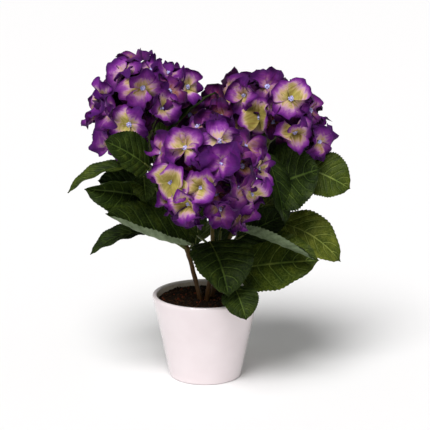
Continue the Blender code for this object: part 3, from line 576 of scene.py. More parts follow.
def stem_plastic():
    """Polythene moulded over wire, washed with brown paint that has settled in its grain."""
    material, node = new_material("moulded polythene", {"Roughness": 0.5, "Specular IOR Level": 0.25})
    body = node("ShaderNodeTexCoord", output="Object")
    grain = node("ShaderNodeMapping", {"Vector": body, "Scale": (1.0, 1.0, 0.12)})
    grain = node(NOISE, {"Vector": grain, "Scale": 1 / (0.9 * MM), "Detail": 4.0})
    blotch = node(NOISE, {"Vector": body, "Scale": 1 / (11 * MM), "Detail": 3.0})
    rise = node("ShaderNodeSeparateXYZ", {"Vector": body}, output="Z")
    rise = node(RANGE, {"Value": rise, "From Min": 0.085, "From Max": 0.26})
    rise = node("MULTIPLY_ADD", (blotch, 0.5, rise))
    rise = node("ADD", (rise, -0.25))
    colour = node(RAMP, {"Fac": rise}, stops=(
        (0.0, "43290a"), (0.25, "553a10"), (0.6, "4b4812"), (1.0, "394a14")))
    light = node(RANGE, {"Value": grain, "From Min": 0.3, "From Max": 0.7, "To Min": 0.6, "To Max": 1.25})
    colour = node("ShaderNodeHueSaturation", {"Color": colour, "Value": light})
    return finished(material, colour, grain, 0.6, 0.4)


def glaze():
    """White glazed earthenware: glossy, faintly pink, with the slow ripple of a dipped glaze."""
    material, node = new_material("white glazed earthenware", {
        "Roughness": 0.14, "IOR": 1.52, "Coat Weight": 0.35, "Coat Roughness": 0.06})
    body = node("ShaderNodeTexCoord", output="Object")
    ripple, specks = (
        node(NOISE, {"Vector": body, "Scale": 1 / (size * MM), "Detail": 2.0}) for size in (28, 1.1))
    colour = node(RAMP, {"Fac": ripple}, stops=((0.3, "e8dcde"), (0.7, "ece1e3")))
    height = node("MULTIPLY_ADD", (specks, 0.03, ripple))
    return finished(material, colour, height, 0.2, 0.6)


def as_mesh(bm, name):
    """Keep a finished bmesh as a mesh."""
    mesh = bpy.data.meshes.new(name)
    bm.to_mesh(mesh)
    bm.free()
    return mesh


def open_edges(bm):
    """The edges round a bmesh's holes."""
    return [edge for edge in bm.edges if edge.is_boundary]


def put_in_scene(name, data):
    """Put a mesh, a lamp or a lens in the scene."""
    thing = bpy.data.objects.new(name, data)
    bpy.context.scene.collection.objects.link(thing)
    return thing


def add_piece(name, bm, materials, slot, *nodes):
    """Turn a bmesh in millimetres into a piece of the plant, in metres, standing for some CAD nodes."""
    bmesh.ops.scale(bm, vec=(MM, MM, MM), verts=bm.verts)
    mesh = as_mesh(bm, name)
    for material in materials:
        mesh.materials.append(material)
    mesh.shade_smooth()
    piece = put_in_scene(name, mesh)
    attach(piece, "root")
    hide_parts(*nodes)


def smooth_path(points, count):
    """Evenly numbered points on a curve that passes through the given ones."""
    knots = [Vector(point) for point in points]
    knots = [2 * knots[0] - knots[1], *knots, 2 * knots[-1] - knots[-2]]
    spans = len(knots) - 3
    path = []
    for step in range(count):
        place = step / (count - 1) * spans
        span = min(int(place), spans - 1)
        t = place - span
        a, b, c, d = knots[span:span + 4]
        path.append(0.5 * (2 * b + (c - a) * t + (2 * a - 5 * b + 4 * c - d) * t * t
                           + (3 * b - a - 3 * c + d) * t ** 3))
    return path


def stem_path(name, count=STEM_POINTS):
    """A stem's centre line, from its sunk foot up to its bloom."""
    foot = Vector(STEMS[name][0]) - UP * STEM_DEPTH
    return smooth_path([foot, *STEMS[name]], count)


def heading(degrees_right, degrees_up=0.0):
    """A direction given as degrees to the right of -Y and degrees up."""
    turn = radians(degrees_right)
    lift = radians(degrees_up)
    return Vector((sin(turn) * cos(lift), -cos(turn) * cos(lift), sin(lift)))


def leaf_axes(leaf):
    """A leaf's length and its directions along, to its right side and out of its upper face."""
    chord = Vector(leaf.tip) - Vector(leaf.base)
    along = chord.normalized()
    side = along.cross(UP).normalized()
    turn = Matrix.Rotation(radians(leaf.roll), 3, along)
    return chord.length, along, turn @ side, turn @ side.cross(along)


def leaf_point(leaf, t, s):
    """A point of a leaf's blade: t from base to tip, s from the left edge, -1, to the right, 1."""
    length, along, side, normal = leaf_axes(leaf)
    outline = LEAF_FULLNESS * t ** LEAF_SHOULDER * (1 - t) ** LEAF_TAPER
    half = max(0.5 * leaf.width * outline, LEAF_END / 2)
    fold, curl = leaf.left if s < 0 else leaf.right
    fold = radians(fold)
    curl = radians(curl or 1)
    share = abs(s)
    out = half * (sin(fold + curl * share) - sin(fold)) / curl
    rise = half * (cos(fold) - cos(fold + curl * share)) / curl
    out = out if s > 0 else -out
    arch = leaf.arch * length * 4 * t * (1 - t)
    return Vector(leaf.base) + along * (length * t) + side * out + normal * (rise + arch)


def leaf_samples(leaf):
    """Points all over a blade and along its margin, for keeping leaves apart."""
    long, wide = LEAF_SAMPLES
    return [leaf_point(leaf, t / long, s / wide) for t in range(long + 1) for s in range(-wide, wide + 1)]


def apart(some, others, distance):
    """True when no point of one set is nearer than a distance to a point of the other."""
    if len(some) == 0 or len(others) == 0:
        return True
    between = np.array(some)[:, None] - np.array(others)[None]
    return (between ** 2).sum(axis=2).min() > distance ** 2


def stem_at(name, height):
    """The point of a stem's centre line at a height, and the stem's direction there."""
    path = stem_path(name)
    for low, high in zip(path, path[1:]):
        if low.z <= height <= high.z:
            return low.lerp(high, (height - low.z) / (high.z - low.z)), (high - low).normalized()
    return path[-1], (path[-1] - path[-2]).normalized()


def twig_ends(stem, height, leaves):
    """Where a mass's twig starts, a gap clear of its stem, and where its petioles part."""
    middle, rising = stem_at(stem, height)
    bases = sum((Vector(leaf.base) for leaf in leaves), Vector()) / len(leaves)
    out = (bases - middle).normalized()
    lean = abs(out.dot(rising))
    clear = (STEM_FOOT_RADIUS + GAP + TWIG_RADIUS * lean) / sqrt(1 - lean * lean)
    start = middle + out * clear
    return start, start + out * TWIG_LENGTH


def petiole_path(start, fork, leaf):
    """A petiole's line, from inside the twig, bending up into the leaf's midrib."""
    base = Vector(leaf.base)
    root = start.lerp(fork, PETIOLE_START)
    sunk = leaf_point(leaf, MIDRIB_SINK, 0)
    return smooth_path([root, (fork + base) / 2 + UP * PETIOLE_RISE, base, sunk], PETIOLE_POINTS)


def ruled_leaf(middle, turn, dice):
    """A leaf that points a given way from its stem, with the rule's length, width, sag and fold."""
    way = {name: dice.uniform(*extremes) for name, extremes in RULED_WAYS.items()}
    base = middle + heading(turn) * way["out"] + UP * way["up"]
    tip = base + heading(turn + way["bend"], way["droop"]) * way["length"]
    return Leaf(base, tip, way["width"], way["roll"], way["arch"], (way["left"], RULED_CURL),
                (way["right"], RULED_CURL))


def all_leaf_masses():
    """Every mass with its leaves. A ruled leaf is tried a few times, and skipped if it never fits."""
    masses = dict(LEAF_MASSES)
    taken = [smooth_path(stem_path(name), PATH_SAMPLES) for name in STEMS]
    taken += [leaf_samples(leaf) for _, _, leaves in LEAF_MASSES.values() for leaf in leaves]
    for name, (stem, height, facing, count) in RULED_MASSES.items():
        dice = random.Random(name)
        middle, _ = stem_at(stem, height)
        kept = []
        for index in range(count):
            turn = facing + (index - (count - 1) / 2) * RULED_SPREAD
            for _ in range(RULED_TRIES):
                leaf = ruled_leaf(middle, turn + dice.uniform(-RULED_STRAY, RULED_STRAY), dice)
                samples = leaf_samples(leaf)
                if all(apart(samples, other, LEAF_APART) for other in taken):
                    taken.append(samples)
                    kept.append(leaf)
                    break
        if kept:
            masses[name] = (stem, height, kept)
    return masses


def obstacles(masses):
    """Points on every stem, petiole and blade, which the florets keep clear of."""
    points = [point for name in STEMS for point in smooth_path(stem_path(name), PATH_SAMPLES)]
    for stem, height, leaves in masses.values():
        start, fork = twig_ends(stem, height, leaves)
        for leaf in leaves:
            points += leaf_samples(leaf)
            points += smooth_path(petiole_path(start, fork, leaf), 12)
    return np.array(points)


def floret_turn(floret):
    """The rotation from a floret's own axes to the plant's."""
    return floret.aim.to_track_quat("Z", "Y").to_matrix() @ Matrix.Rotation(floret.spin, 3, "Z")


def floret_points(floret):
    """A floret's outline: four petals, each raised by its own cup angle, from its centre."""
    turn = floret_turn(floret)
    cups = floret.cups
    points = []
    for step in range(FLORET_POINTS):
        angle = 2 * pi * step / FLORET_POINTS
        petal = step * 4 // FLORET_POINTS
        within = (step * 4 / FLORET_POINTS) % 1.0
        reach = floret.radius * (1 - FLORET_NOTCH * abs(cos(pi * within)) ** FLORET_NARROW)
        lift = radians(cups[petal]) if within else radians((cups[petal] + cups[petal - 1]) / 2)
        place = Vector((cos(angle) * cos(lift), sin(angle) * cos(lift), sin(lift))) * reach
        points.append(floret.place + turn @ place)
    return points


def floret_samples(floret):
    """Points all over a floret, for keeping it clear of leaves and stems."""
    outline = floret_points(floret)
    outline += [(here + there) / 2 for here, there in zip(outline, outline[1:] + outline[:1])]
    return [floret.place.lerp(point, share) for point in outline for share in (1 / 3, 2 / 3, 1)]


def spread_headings(axis, tries):
    """Directions spread evenly over a head, from its crown on the given axis down to its skirt."""
    turn = axis.to_track_quat("Z", "Y").to_matrix()
    depth = 1 - cos(radians(BLOOM_SKIRT))
    for index in range(tries):
        down = acos(1 - depth * (index + 0.5) / tries)
        around = index * GOLDEN_ANGLE
        yield turn @ Vector((sin(down) * cos(around), sin(down) * sin(around), cos(down)))


def bloom_walls(name):
    """The planes that a head stays behind, midway to the other heads or set, as points and directions."""
    centre = Vector(BLOOM_CENTRES[name])
    others = [Vector(place) for other, place in BLOOM_CENTRES.items() if other != name]
    walls = [((centre + other) / 2, (other - centre).normalized()) for other in others]
    return walls + [(Vector(place), heading(*across)) for place, across in BLOOM_LIMITS.get(name, ())]


def bloom_frame(name):
    """A head's centre, and the way its stem carries it."""
    centre = Vector(BLOOM_CENTRES[name])
    return centre, (centre - stem_path(name)[-1]).normalized()


def past_walls(floret, walls):
    """True when a floret reaches past a plane that its head stays behind."""
    points = floret_points(floret)
    return any((point - wall).dot(across) > -BLOOM_GAP for wall, across in walls for point in points)


def leaning(facing, amount, dice):
    """A direction that leans a random way from another."""
    return (facing + Vector([dice.uniform(-1, 1) for _ in range(3)]) * amount).normalized()


def bloom_florets(name, blocked):
    """A head's florets by the rule: the key ones, then an even spread over the rest of the head."""
    centre, axis = bloom_frame(name)
    keys = KEY_FLORETS[name]
    facings = [heading(*key.at) for key in keys] + [*spread_headings(axis, BLOOM_TRIES)]
    walls = bloom_walls(name)
    florets = []
    for index, facing in enumerate(facings):
        dice = random.Random(f"{name} {index}")
        key = keys[index] if index < len(keys) else None
        out = BLOOM_RADII[name] * (key.out if key else dice.uniform(*BLOOM_DEPTH))
        flat = 1 - (1 - BLOOM_FLATNESS) * facing.dot(axis) ** 2
        aim = leaning(facing, FLORET_TILT, dice)
        if key:
            aim, cups, spin = heading(*key.aim), key.cups, radians(key.spin)
        else:
            cups, spin = [dice.uniform(*FLORET_CUP) for _ in range(4)], dice.uniform(0, pi / 2)
        radius = FLORET_RADIUS * dice.uniform(*FLORET_SIZES)
        for shrink in FLORET_SHRINK:
            floret = Floret(centre + facing * out * flat * shrink, aim, spin, cups, radius * shrink)
            crowded = not key and not apart(
                [floret.place], [other.place for other in florets], FLORET_APART * shrink)
            if not crowded and not past_walls(floret, walls) and apart(
                    floret_samples(floret), blocked, FLORET_CLEAR):
                florets.append(floret)
                break
    return florets


def inner_florets(name, outer, blocked):
    """The florets that stand deeper in a head, under the gaps between its outer ones."""
    centre, axis = bloom_frame(name)
    walls = bloom_walls(name)
    florets = [Floret(centre + heading(*key.at) * BLOOM_RADII[name] * key.out, heading(*key.aim),
                      radians(key.spin), key.cups, FLORET_RADIUS * FILL_SIZE)
               for key in FILL_FLORETS.get(name, ())]
    for index, facing in enumerate(spread_headings(axis, INNER_TRIES)):
        dice = random.Random(f"{name} inner {index}")
        place = centre + facing * BLOOM_RADII[name] * dice.uniform(*INNER_DEPTH)
        aim = leaning(facing, INNER_TILT, dice)
        cups = [dice.uniform(*INNER_CUP) for _ in range(4)]
        floret = Floret(place, aim, dice.uniform(0, pi / 2), cups, FLORET_RADIUS * dice.uniform(*INNER_SIZES))
        crowded = not apart([place], [other.place for other in (*outer, *florets)], INNER_APART)
        if not crowded and not past_walls(floret, walls) and apart(
                floret_samples(floret), blocked, INNER_CLEAR):
            florets.append(floret)
    return florets


def stamp(bm, template, place):
    """Add a template's mesh to a bmesh, each point where a function puts it, and give its faces."""
    start = len(bm.verts)
    first_face = len(bm.faces)
    bm.from_mesh(template)
    bm.verts.ensure_lookup_table()
    bm.faces.ensure_lookup_table()
    for vert in bm.verts[start:]:
        vert.co = place(vert.co)
    return bm.faces[first_face:]


def as_template(bm, name):
    """Keep a small bmesh as a mesh that can be stamped."""
    bmesh.ops.recalc_face_normals(bm, faces=bm.faces)
    return as_mesh(bm, name)


def give_values(bm, template, values):
    """Give the points of the template stamped last a value on each named layer."""
    for name, value in values.items():
        layer = bm.verts.layers.float.get(name) or bm.verts.layers.float.new(name)
        bm.verts.ensure_lookup_table()
        for vert in bm.verts[-len(template.vertices):]:
            vert[layer] = value


def taper(ends, count):
    """Evenly changing radii from one end of a tube to the other."""
    first, last = ends
    return [first + (last - first) * step / (count - 1) for step in range(count)]


def tube_template(sides, stations):
    """A closed tube: its points hold the cosine and sine of their spoke, and the number of their ring."""
    bm = bmesh.new()
    bmesh.ops.create_grid(bm, x_segments=sides, y_segments=stations, size=1.0)
    for vert in bm.verts:
        angle = vert.co.x * pi
        vert.co = (cos(angle), sin(angle), (vert.co.y + 1) / 2 * stations)
    bmesh.ops.remove_doubles(bm, verts=bm.verts, dist=0.001)
    bmesh.ops.holes_fill(bm, edges=open_edges(bm), sides=0)
    return as_template(bm, "tube")


def round_square(across, lengthwise):
    """A point of a square moved to its place in a disc."""
    return (across * sqrt(1 - lengthwise * lengthwise / 2), lengthwise * sqrt(1 - across * across / 2))


def sheet_template(columns, rows, pattern, mapped):
    """A closed thin sheet: its points hold their place on a square, and 1 on the face or -1 on the back."""
    bm = bmesh.new()
    bmesh.ops.create_grid(bm, x_segments=columns, y_segments=rows, size=1.0)
    for vert in bm.verts:
        vert.co.z = 0.01
    back = bmesh.ops.duplicate(bm, geom=[*bm.verts, *bm.edges, *bm.faces])["geom"]
    for item in back:
        if isinstance(item, bmesh.types.BMVert):
            item.co.z = -0.01
    bmesh.ops.reverse_faces(bm, faces=[item for item in back if isinstance(item, bmesh.types.BMFace)])
    bmesh.ops.bridge_loops(bm, edges=open_edges(bm))
    bmesh.ops.recalc_face_normals(bm, faces=bm.faces)
    on_map = bm.loops.layers.uv.new(pattern)
    on_bake = bm.loops.layers.uv.new("OFBake")
    for face in bm.faces:
        heights = {vert.co.z > 0 for vert in face.verts}
        face.material_index = 0 if True in heights else 1
        for loop in face.loops:
            x, y, z = loop.vert.co
            loop[on_map].uv = mapped(x, y)
            middle = BAKE_FACE if True in heights else BAKE_BACK
            spread = BAKE_RIM_REACH if len(heights) == 2 and z < 0 else BAKE_REACH
            loop[on_bake].uv = (middle + x * spread, 0.5 + y * spread * 2)
    for vert in bm.verts:
        vert.co.z = 1 if vert.co.z > 0 else -1
    for edge in bm.edges:
        edge.smooth = len({vert.co.z for vert in edge.verts}) == 1 and len(
            {len({vert.co.z for vert in face.verts}) for face in edge.link_faces}) == 1
    return as_mesh(bm, "sheet")


def give_bake_cell(bm, faces, index, count):
    """Move a sheet's map for baking into its own cell of a square of cells."""
    across = max(1, -int(-sqrt(count) // 1))
    layer = bm.loops.layers.uv["OFBake"]
    for face in faces:
        for loop in face.loops:
            u, v = loop[layer].uv
            loop[layer].uv = ((index % across + u) / across, (index // across + v) / across)


def add_tube(bm, template, path, radii, relief=None):
    """Sweep a tube template along a path with one radius for each point, and a relief round it."""
    count = len(path)
    frames = []
    normal = (path[1] - path[0]).orthogonal().normalized()
    for index, place in enumerate(path):
        along = (path[min(index + 1, count - 1)] - path[max(index - 1, 0)]).normalized()
        normal = (normal - along * normal.dot(along)).normalized()
        frames.append((place, normal, along.cross(normal)))

    def on_tube(co):
        ring = round(co.z)
        place, normal, side = frames[ring]
        radius = radii[ring] * (relief(atan2(co.y, co.x), ring / (count - 1)) if relief else 1)
        return place + (normal * co.x + side * co.y) * radius

    stamp(bm, template, on_tube)


def arc(centre, radius, start, end):
    """Points on a round corner of a profile, angles in degrees from +radius towards +height."""
    angles = [radians(start + (end - start) * step / POT_ROUND_STEPS) for step in range(POT_ROUND_STEPS + 1)]
    return [(centre[0] + radius * cos(angle), centre[1] + radius * sin(angle)) for angle in angles]


def between(start, end, steps):
    """Points of a profile on the line between two others."""
    return [tuple(Vector(start).lerp(Vector(end), step / steps)) for step in range(1, steps)]


def wall_radius(height):
    """The pot's outer radius at a height on its tapered side."""
    return POT_BASE_RADIUS + (POT_RIM_RADIUS - POT_BASE_RADIUS) * height / POT_HEIGHT


def add_pot(materials):
    """The pot, thrown and turned: a tapered cup with a rounded lip, a duller inside and a foot ring."""
    rim_centre = (wall_radius(POT_HEIGHT) - POT_RIM_ROUND, POT_HEIGHT - POT_RIM_ROUND)
    inner_rim = (wall_radius(POT_HEIGHT) - POT_WALL + POT_RIM_ROUND, POT_HEIGHT - POT_RIM_ROUND)
    foot_centre = (POT_BASE_RADIUS - POT_BASE_ROUND, POT_BASE_ROUND)
    inner_foot = (wall_radius(POT_FLOOR) - POT_WALL, POT_FLOOR)
    lip = arc(inner_rim, POT_RIM_ROUND, 180, 90) + arc(rim_centre, POT_RIM_ROUND, 90, 0)
    foot = arc(foot_centre, POT_BASE_ROUND, 0, -90)
    wall = between(inner_foot, lip[0], POT_INSIDE_STEPS)
    side = between(lip[-1], foot[0], POT_SIDE_STEPS)
    profile = [(0, POT_FLOOR), (inner_foot[0] / 2, POT_FLOOR), inner_foot, *wall, *lip, *side, *foot,
               (FOOT_RING, 0), (FOOT_RING - 1, FOOT_RECESS), (FOOT_RING / 2, FOOT_RECESS), (0, FOOT_RECESS)]
    bm = bmesh.new()
    points = [bm.verts.new((radius, 0, height)) for radius, height in profile]
    for upper, lower in zip(points, points[1:]):
        bm.edges.new((upper, lower))
    bmesh.ops.spin(bm, geom=[*bm.verts, *bm.edges], cent=(0, 0, 0), axis=(0, 0, 1), angle=2 * pi,
                   steps=POT_TURN_STEPS, use_merge=True)
    bmesh.ops.remove_doubles(bm, verts=bm.verts, dist=0.01)
    bmesh.ops.recalc_face_normals(bm, faces=bm.faces)
    for face in bm.faces:
        middle = face.calc_center_median()
        inside = POT_FLOOR - 1 < middle.z < POT_HEIGHT - POT_RIM_ROUND and face.normal.dot(
            Vector((*middle.xy, 0))) <= 0.01
        face.material_index = 1 if inside or face.normal.z < -0.9 and middle.xy.length < FOOT_RING else 0
    for vert in bm.verts:
        if 1 < vert.co.z < POT_HEIGHT - 1:
            vert.co.xy *= 1 + POT_WOBBLE * noise.noise(vert.co / POT_WOBBLE_SIZE)
    add_piece("pot_turned", bm, materials, "pot", "pot")


def soil_height(x, y):
    """The height of the soil's lumpy top at a place in the pot."""
    out = sqrt(x * x + y * y) / SOIL_RADIUS
    lumps = noise.fractal(Vector((x, y, 3)) / SOIL_LUMP, 0.7, 2.1, 4)
    return SOIL_LEVEL - SOIL_EDGE_DROP * out ** 4 + SOIL_RELIEF * lumps - SOIL_SINK


def add_soil(bed, *tints):
    """The plug of artificial soil, with loose crumbs pressed into its top."""
    bm = bmesh.new()
    bmesh.ops.create_grid(bm, x_segments=SOIL_GRID, y_segments=SOIL_GRID, size=1.0)
    for vert in bm.verts:
        x, y = round_square(vert.co.x, vert.co.y)
        x, y = x * SOIL_RADIUS, y * SOIL_RADIUS
        vert.co = (x, y, soil_height(x, y))
    wall = bmesh.ops.extrude_edge_only(bm, edges=open_edges(bm))["geom"]
    for item in wall:
        if isinstance(item, bmesh.types.BMVert):
            item.co.z = SOIL_LEVEL - STEM_DEPTH
            item.co.xy *= SOIL_FOOT
    bmesh.ops.holes_fill(bm, edges=open_edges(bm), sides=0)
    bmesh.ops.recalc_face_normals(bm, faces=bm.faces)
    add_piece("soil_bed", bm, [bed], "soil", "soil")
    dice = random.Random("crumbs")
    lumps = []
    for _ in range(CRUMB_KINDS):
        lump = bmesh.new()
        bmesh.ops.create_icosphere(lump, subdivisions=1, radius=1.0)
        for vert in lump.verts:
            vert.co *= dice.uniform(*CRUMB_BUMPS)
        lumps.append(as_template(lump, "crumb"))
    bm = bmesh.new()
    for _ in range(SOIL_CRUMBS):
        out = (SOIL_RADIUS - CRUMB_MARGIN) * sqrt(dice.random())
        around = dice.uniform(0, 2 * pi)
        x, y = out * cos(around), out * sin(around)
        size = dice.uniform(*CRUMB_SIZE) * dice.uniform(0.6, 1)
        turn = Matrix.Rotation(dice.uniform(0, pi), 3, "Z") @ Matrix.Rotation(dice.uniform(0, pi), 3, "X")
        turn = turn @ Matrix.Diagonal((size, size * dice.uniform(0.7, 1), size * dice.uniform(0.5, 0.9)))
        middle = Vector((x, y, soil_height(x, y) + size * 0.2))
        faces = stamp(bm, dice.choice(lumps), lambda co: middle + turn @ co)
        tint = dice.choices(range(len(tints)), weights=CRUMB_WEIGHTS)[0]
        for face in faces:
            face.material_index = tint
    add_piece("soil_crumbs", bm, tints, "soil", "soil")


def add_stems(material, masses):
    """The moulded stems, ribbed like bark, with a collar wherever a twig leaves."""
    template = tube_template(STEM_SIDES, STEM_STATIONS)
    for name in STEMS:
        path = stem_path(name, STEM_STATIONS + 1)
        heights = [height for stem, height, _ in masses.values() if stem == name]
        radii = [
            radius + COLLAR_RISE * max(exp(-((place.z - height) / COLLAR_HEIGHT) ** 2) for height in heights)
            for radius, place in zip(taper((STEM_FOOT_RADIUS, STEM_TIP_RADIUS), STEM_STATIONS + 1), path)]
        shift = len(name)

        def bark(angle, share):
            """Long ribs that wander round the stem, and knobs between them."""
            spot = Vector((cos(angle) * 1.6, sin(angle) * 1.6, share * 26 + shift))
            return 1 + RIB_RELIEF * sin(5 * angle + 6 * sin(share * 9)) + KNOB_RELIEF * noise.noise(spot)

        bm = bmesh.new()
        add_tube(bm, template, path, radii, bark)
        add_piece(f"stem_{name}_bark", bm, [material], "stems", f"stem_{name}")


def blade_point(leaf, a, b, phase):
    """A point of the finished blade, and how far its quilting, waves and groove lift it there."""
    t = (a + 1) / 2
    s = -b
    edge = abs(s)
    taper_in = min(1.0, 9 * t + 0.25, 14 * (1 - t) + 0.08)
    tooth = (t * BLADE_STATIONS % TOOTH_STATIONS) / 2 if TOOTHED[0] < t < TOOTHED[1] else 0.5
    out = edge * (1 + TOOTH * (tooth - 0.4) * edge ** 10) * taper_in
    turn = VEIN_PAIRS * (t - VEIN_SLANT * edge ** VEIN_BEND)
    quilt = abs(sin(pi * turn)) * sin(pi * min(1, edge)) ** 0.6 * QUILT
    wave = edge ** 3 * sin(2 * pi * (3.2 * t + phase * (1.7 if s > 0 else 1))) * min(1, 6 * t, 6 * (1 - t))
    rise = quilt + wave * MARGIN_WAVE - GROOVE * exp(-(edge / GROOVE_WIDTH) ** 2)
    return leaf_point(leaf, t, out if s > 0 else -out), rise


def add_blades(name, leaves, materials, template):
    """One mass's leaves: thin serrated blades, dark above and paler beneath."""
    bm = bmesh.new()
    for index, leaf in enumerate(leaves):
        dice = random.Random(f"{name} blade {index}")
        phase = dice.random()

        def on_blade(co):
            a, b = co.x, co.y
            here, rise = blade_point(leaf, a, b, phase)
            t, step = (a + 1) / 2, BLADE_STEP
            further = (blade_point(leaf, min(a + step, 1), b, phase)[0]
                       - blade_point(leaf, max(a - step, -1), b, phase)[0])
            leftward = leaf_point(leaf, t, -min(b + step, 1)) - leaf_point(leaf, t, -max(b - step, -1))
            return here + further.cross(leftward).normalized() * (rise + co.z * BLADE_THICKNESS / 2)

        give_bake_cell(bm, stamp(bm, template, on_blade), index, len(leaves))
        # A leaf's tone is partly its own and partly painted shade: listed leaves under the blooms and young
        # leaves further in are given darker tones.
        tones = LEAF_TONES_AND_SHADE.get(name, ())
        tone = tones[index] if index < len(tones) else dice.uniform(*YOUNG_TONE if tones else PLAIN_TONE)
        give_values(bm, template, {"tone": tone})
    add_piece(f"{name}_blades", bm, materials, "leaves", f"leaves_{name}")


def add_stalks(masses, material):
    """The twigs and petioles of every mass, each petiole running on as a rib under its blade."""
    tube = tube_template(TUBE_SIDES, LIMB_POINTS - 1)
    twig_radii, petiole_radii = (taper([radius * share for share in LIMB_SHARES], LIMB_POINTS)
                                 for radius in (TWIG_RADIUS, PETIOLE_RADIUS))
    bm = bmesh.new()
    for name, (stem, height, leaves) in masses.items():
        start, fork = twig_ends(stem, height, leaves)
        middle, _ = stem_at(stem, height)
        add_tube(bm, tube, smooth_path([middle, start, fork], LIMB_POINTS), twig_radii)
        for leaf in (*leaves, *YOUNG_LEAVES.get(name, ())):
            add_tube(bm, tube, smooth_path(petiole_path(start, fork, leaf), LIMB_POINTS), petiole_radii)
            drop = leaf_axes(leaf)[3] * RIB_DROP
            rib = [leaf_point(leaf, t, 0) - drop for t in taper((0.02, 0.02 + RIB_REACH), LIMB_POINTS)]
            add_tube(bm, tube, rib, taper(RIB_RADII, LIMB_POINTS))
    bud = tube_template(TUBE_SIDES, len(BUD_RADII) - 1)
    add_tube(bm, bud, smooth_path(BUD, len(BUD_RADII)), BUD_RADII)
    add_piece("leaf_stalks", bm, [material], "stems", *(f"leaves_{name}" for name in masses))


def petal_point(look, a, b):
    """A point of one petal in its own frame: X out from the floret's heart, Z up its face."""
    across, lengthwise = round_square(a, b)
    along = (lengthwise + 1) / 2
    out = sqrt(across * across + lengthwise * lengthwise)
    around = atan2(across, lengthwise)
    bite = noise.noise(Vector((cos(around) * 2.1, sin(around) * 2.1, look["seed"])))
    reach = 1 + look["bite"] * bite * out ** 3
    half = look["width"] * (PETAL_FOOT + (1 - PETAL_FOOT) * sin(min(1.0, along / PETAL_BELLY) * pi / 2))
    x = look["length"] * along * reach
    y = half * across * reach
    fan = atan2(y, x + 3.0)
    crush, wrinkle = (
        noise.noise(Vector((x / size, y / size, look["seed"]))) for size in (CRUSH_SIZE, WRINKLE_SIZE))
    z = look["length"] * along * (look["bow"] * (1 - along) - look["droop"] * along)
    z += look["trough"] * half * (sqrt(across * across + 0.03) - 0.17)
    z += look["pleat"] * along * sin(look["folds"] * fan + look["start"])
    z += look["ruffle"] * out ** 4 * along * sin(look["waves"] * around + 2 * look["start"])
    z += look["lip"] * max(0.0, out - 0.55) ** 2 * (0.4 + sin(around + look["start"]))
    z += (look["crush"] * crush + WRINKLE * wrinkle) * (0.25 + along)
    twist = look["twist"] + look["turn"] * along
    y, z = y * cos(twist) - z * sin(twist), y * sin(twist) + z * cos(twist)
    lift = radians(look["cup"])
    return Vector((x * cos(lift) - z * sin(lift), y, x * sin(lift) + z * cos(lift)))


def petal_look(floret, petal, dice, flush):
    """How one petal is cut, folded and crumpled, the more so the deeper its violet."""
    look = {way: dice.choice(spread) if way == "waves" else dice.uniform(*spread)
            for way, spread in PETAL_WAYS.items()}
    folded = 1.45 - 0.75 * max(flush, 0)
    for way, share in {"length": floret.radius, "width": floret.radius, "crush": folded, "ruffle": folded,
                       "pleat": folded}.items():
        look[way] *= share
    look["cup"] += floret.cups[petal]
    return look


def add_petals(name, florets, material, grid, depth, dyes):
    """Four crumpled petals for every floret, as closed thin sheets on a square grid of points."""
    template = sheet_template(
        grid, grid, "petal", lambda x, y: tuple((c + 1) / 2 for c in round_square(x, y)))
    bm = bmesh.new()
    for index, floret in enumerate(florets):
        dice = random.Random(f"{name} floret {index} {depth}")
        # A floret's flush is its dye, and its shade is painted shade, darkest for the florets deep in the
        # head.
        flush, shade = (dyes[index] if index < len(dyes)
                        else (dice.uniform(*PLAIN_FLUSH), dice.uniform(*PLAIN_SHADE[depth])))
        turn = floret_turn(floret)
        for petal in range(4):
            look = petal_look(floret, petal, dice, flush)
            swing = turn @ Matrix.Rotation(radians(45 + 90 * petal), 3, "Z")
            steps = [2 * step / grid - 1 for step in range(grid + 1)]
            middle = [[floret.place + swing @ petal_point(look, a, b) for b in steps] for a in steps]

            def on_petal(co):
                i, j = (round((c + 1) / 2 * grid) for c in co.xy)
                outward = middle[i][min(j + 1, grid)] - middle[i][max(j - 1, 0)]
                sideways = middle[min(i + 1, grid)][j] - middle[max(i - 1, 0)][j]
                return middle[i][j] + outward.cross(sideways).normalized() * (co.z * PETAL_THICKNESS / 2)

            give_bake_cell(bm, stamp(bm, template, on_petal), 4 * index + petal, 4 * len(florets))
            give_values(bm, template, {"flush": flush + dice.uniform(-FLUSH_STRAY, FLUSH_STRAY),
                                       "shade": shade + dice.uniform(-SHADE_STRAY, SHADE_STRAY)})
    bmesh.ops.recalc_face_normals(bm, faces=bm.faces)
    add_piece(f"{name}_{depth}_petals", bm, [material], "petals", f"bloom_{name}")


def add_beads(name, florets, material):
    """The cluster of stamens at each floret's heart, as moulded beads."""
    bead = bmesh.new()
    bmesh.ops.create_uvsphere(bead, u_segments=8, v_segments=6, radius=1.0)
    bead = as_template(bead, "bead")
    bm = bmesh.new()
    for index, floret in enumerate(florets):
        dice = random.Random(f"{name} beads {index}")
        turn = floret_turn(floret)
        count = dice.choice(BEAD_COUNTS)
        spots = [(0, 0, BEAD_HEIGHTS[0], BEAD_SIZE)]
        for step in range(count):
            angle = 2 * pi * step / count
            spots.append((cos(angle) * BEAD_RING, sin(angle) * BEAD_RING,
                          BEAD_HEIGHTS[1] + dice.uniform(-0.4, 0.4), dice.uniform(*BEAD_SIZES)))
        for x, y, z, radius in spots:
            middle = floret.place + turn @ Vector((x, y, z))
            stamp(bm, bead, lambda co: middle + co * radius)
    add_piece(f"{name}_beads", bm, [material], "petals", f"bloom_{name}")


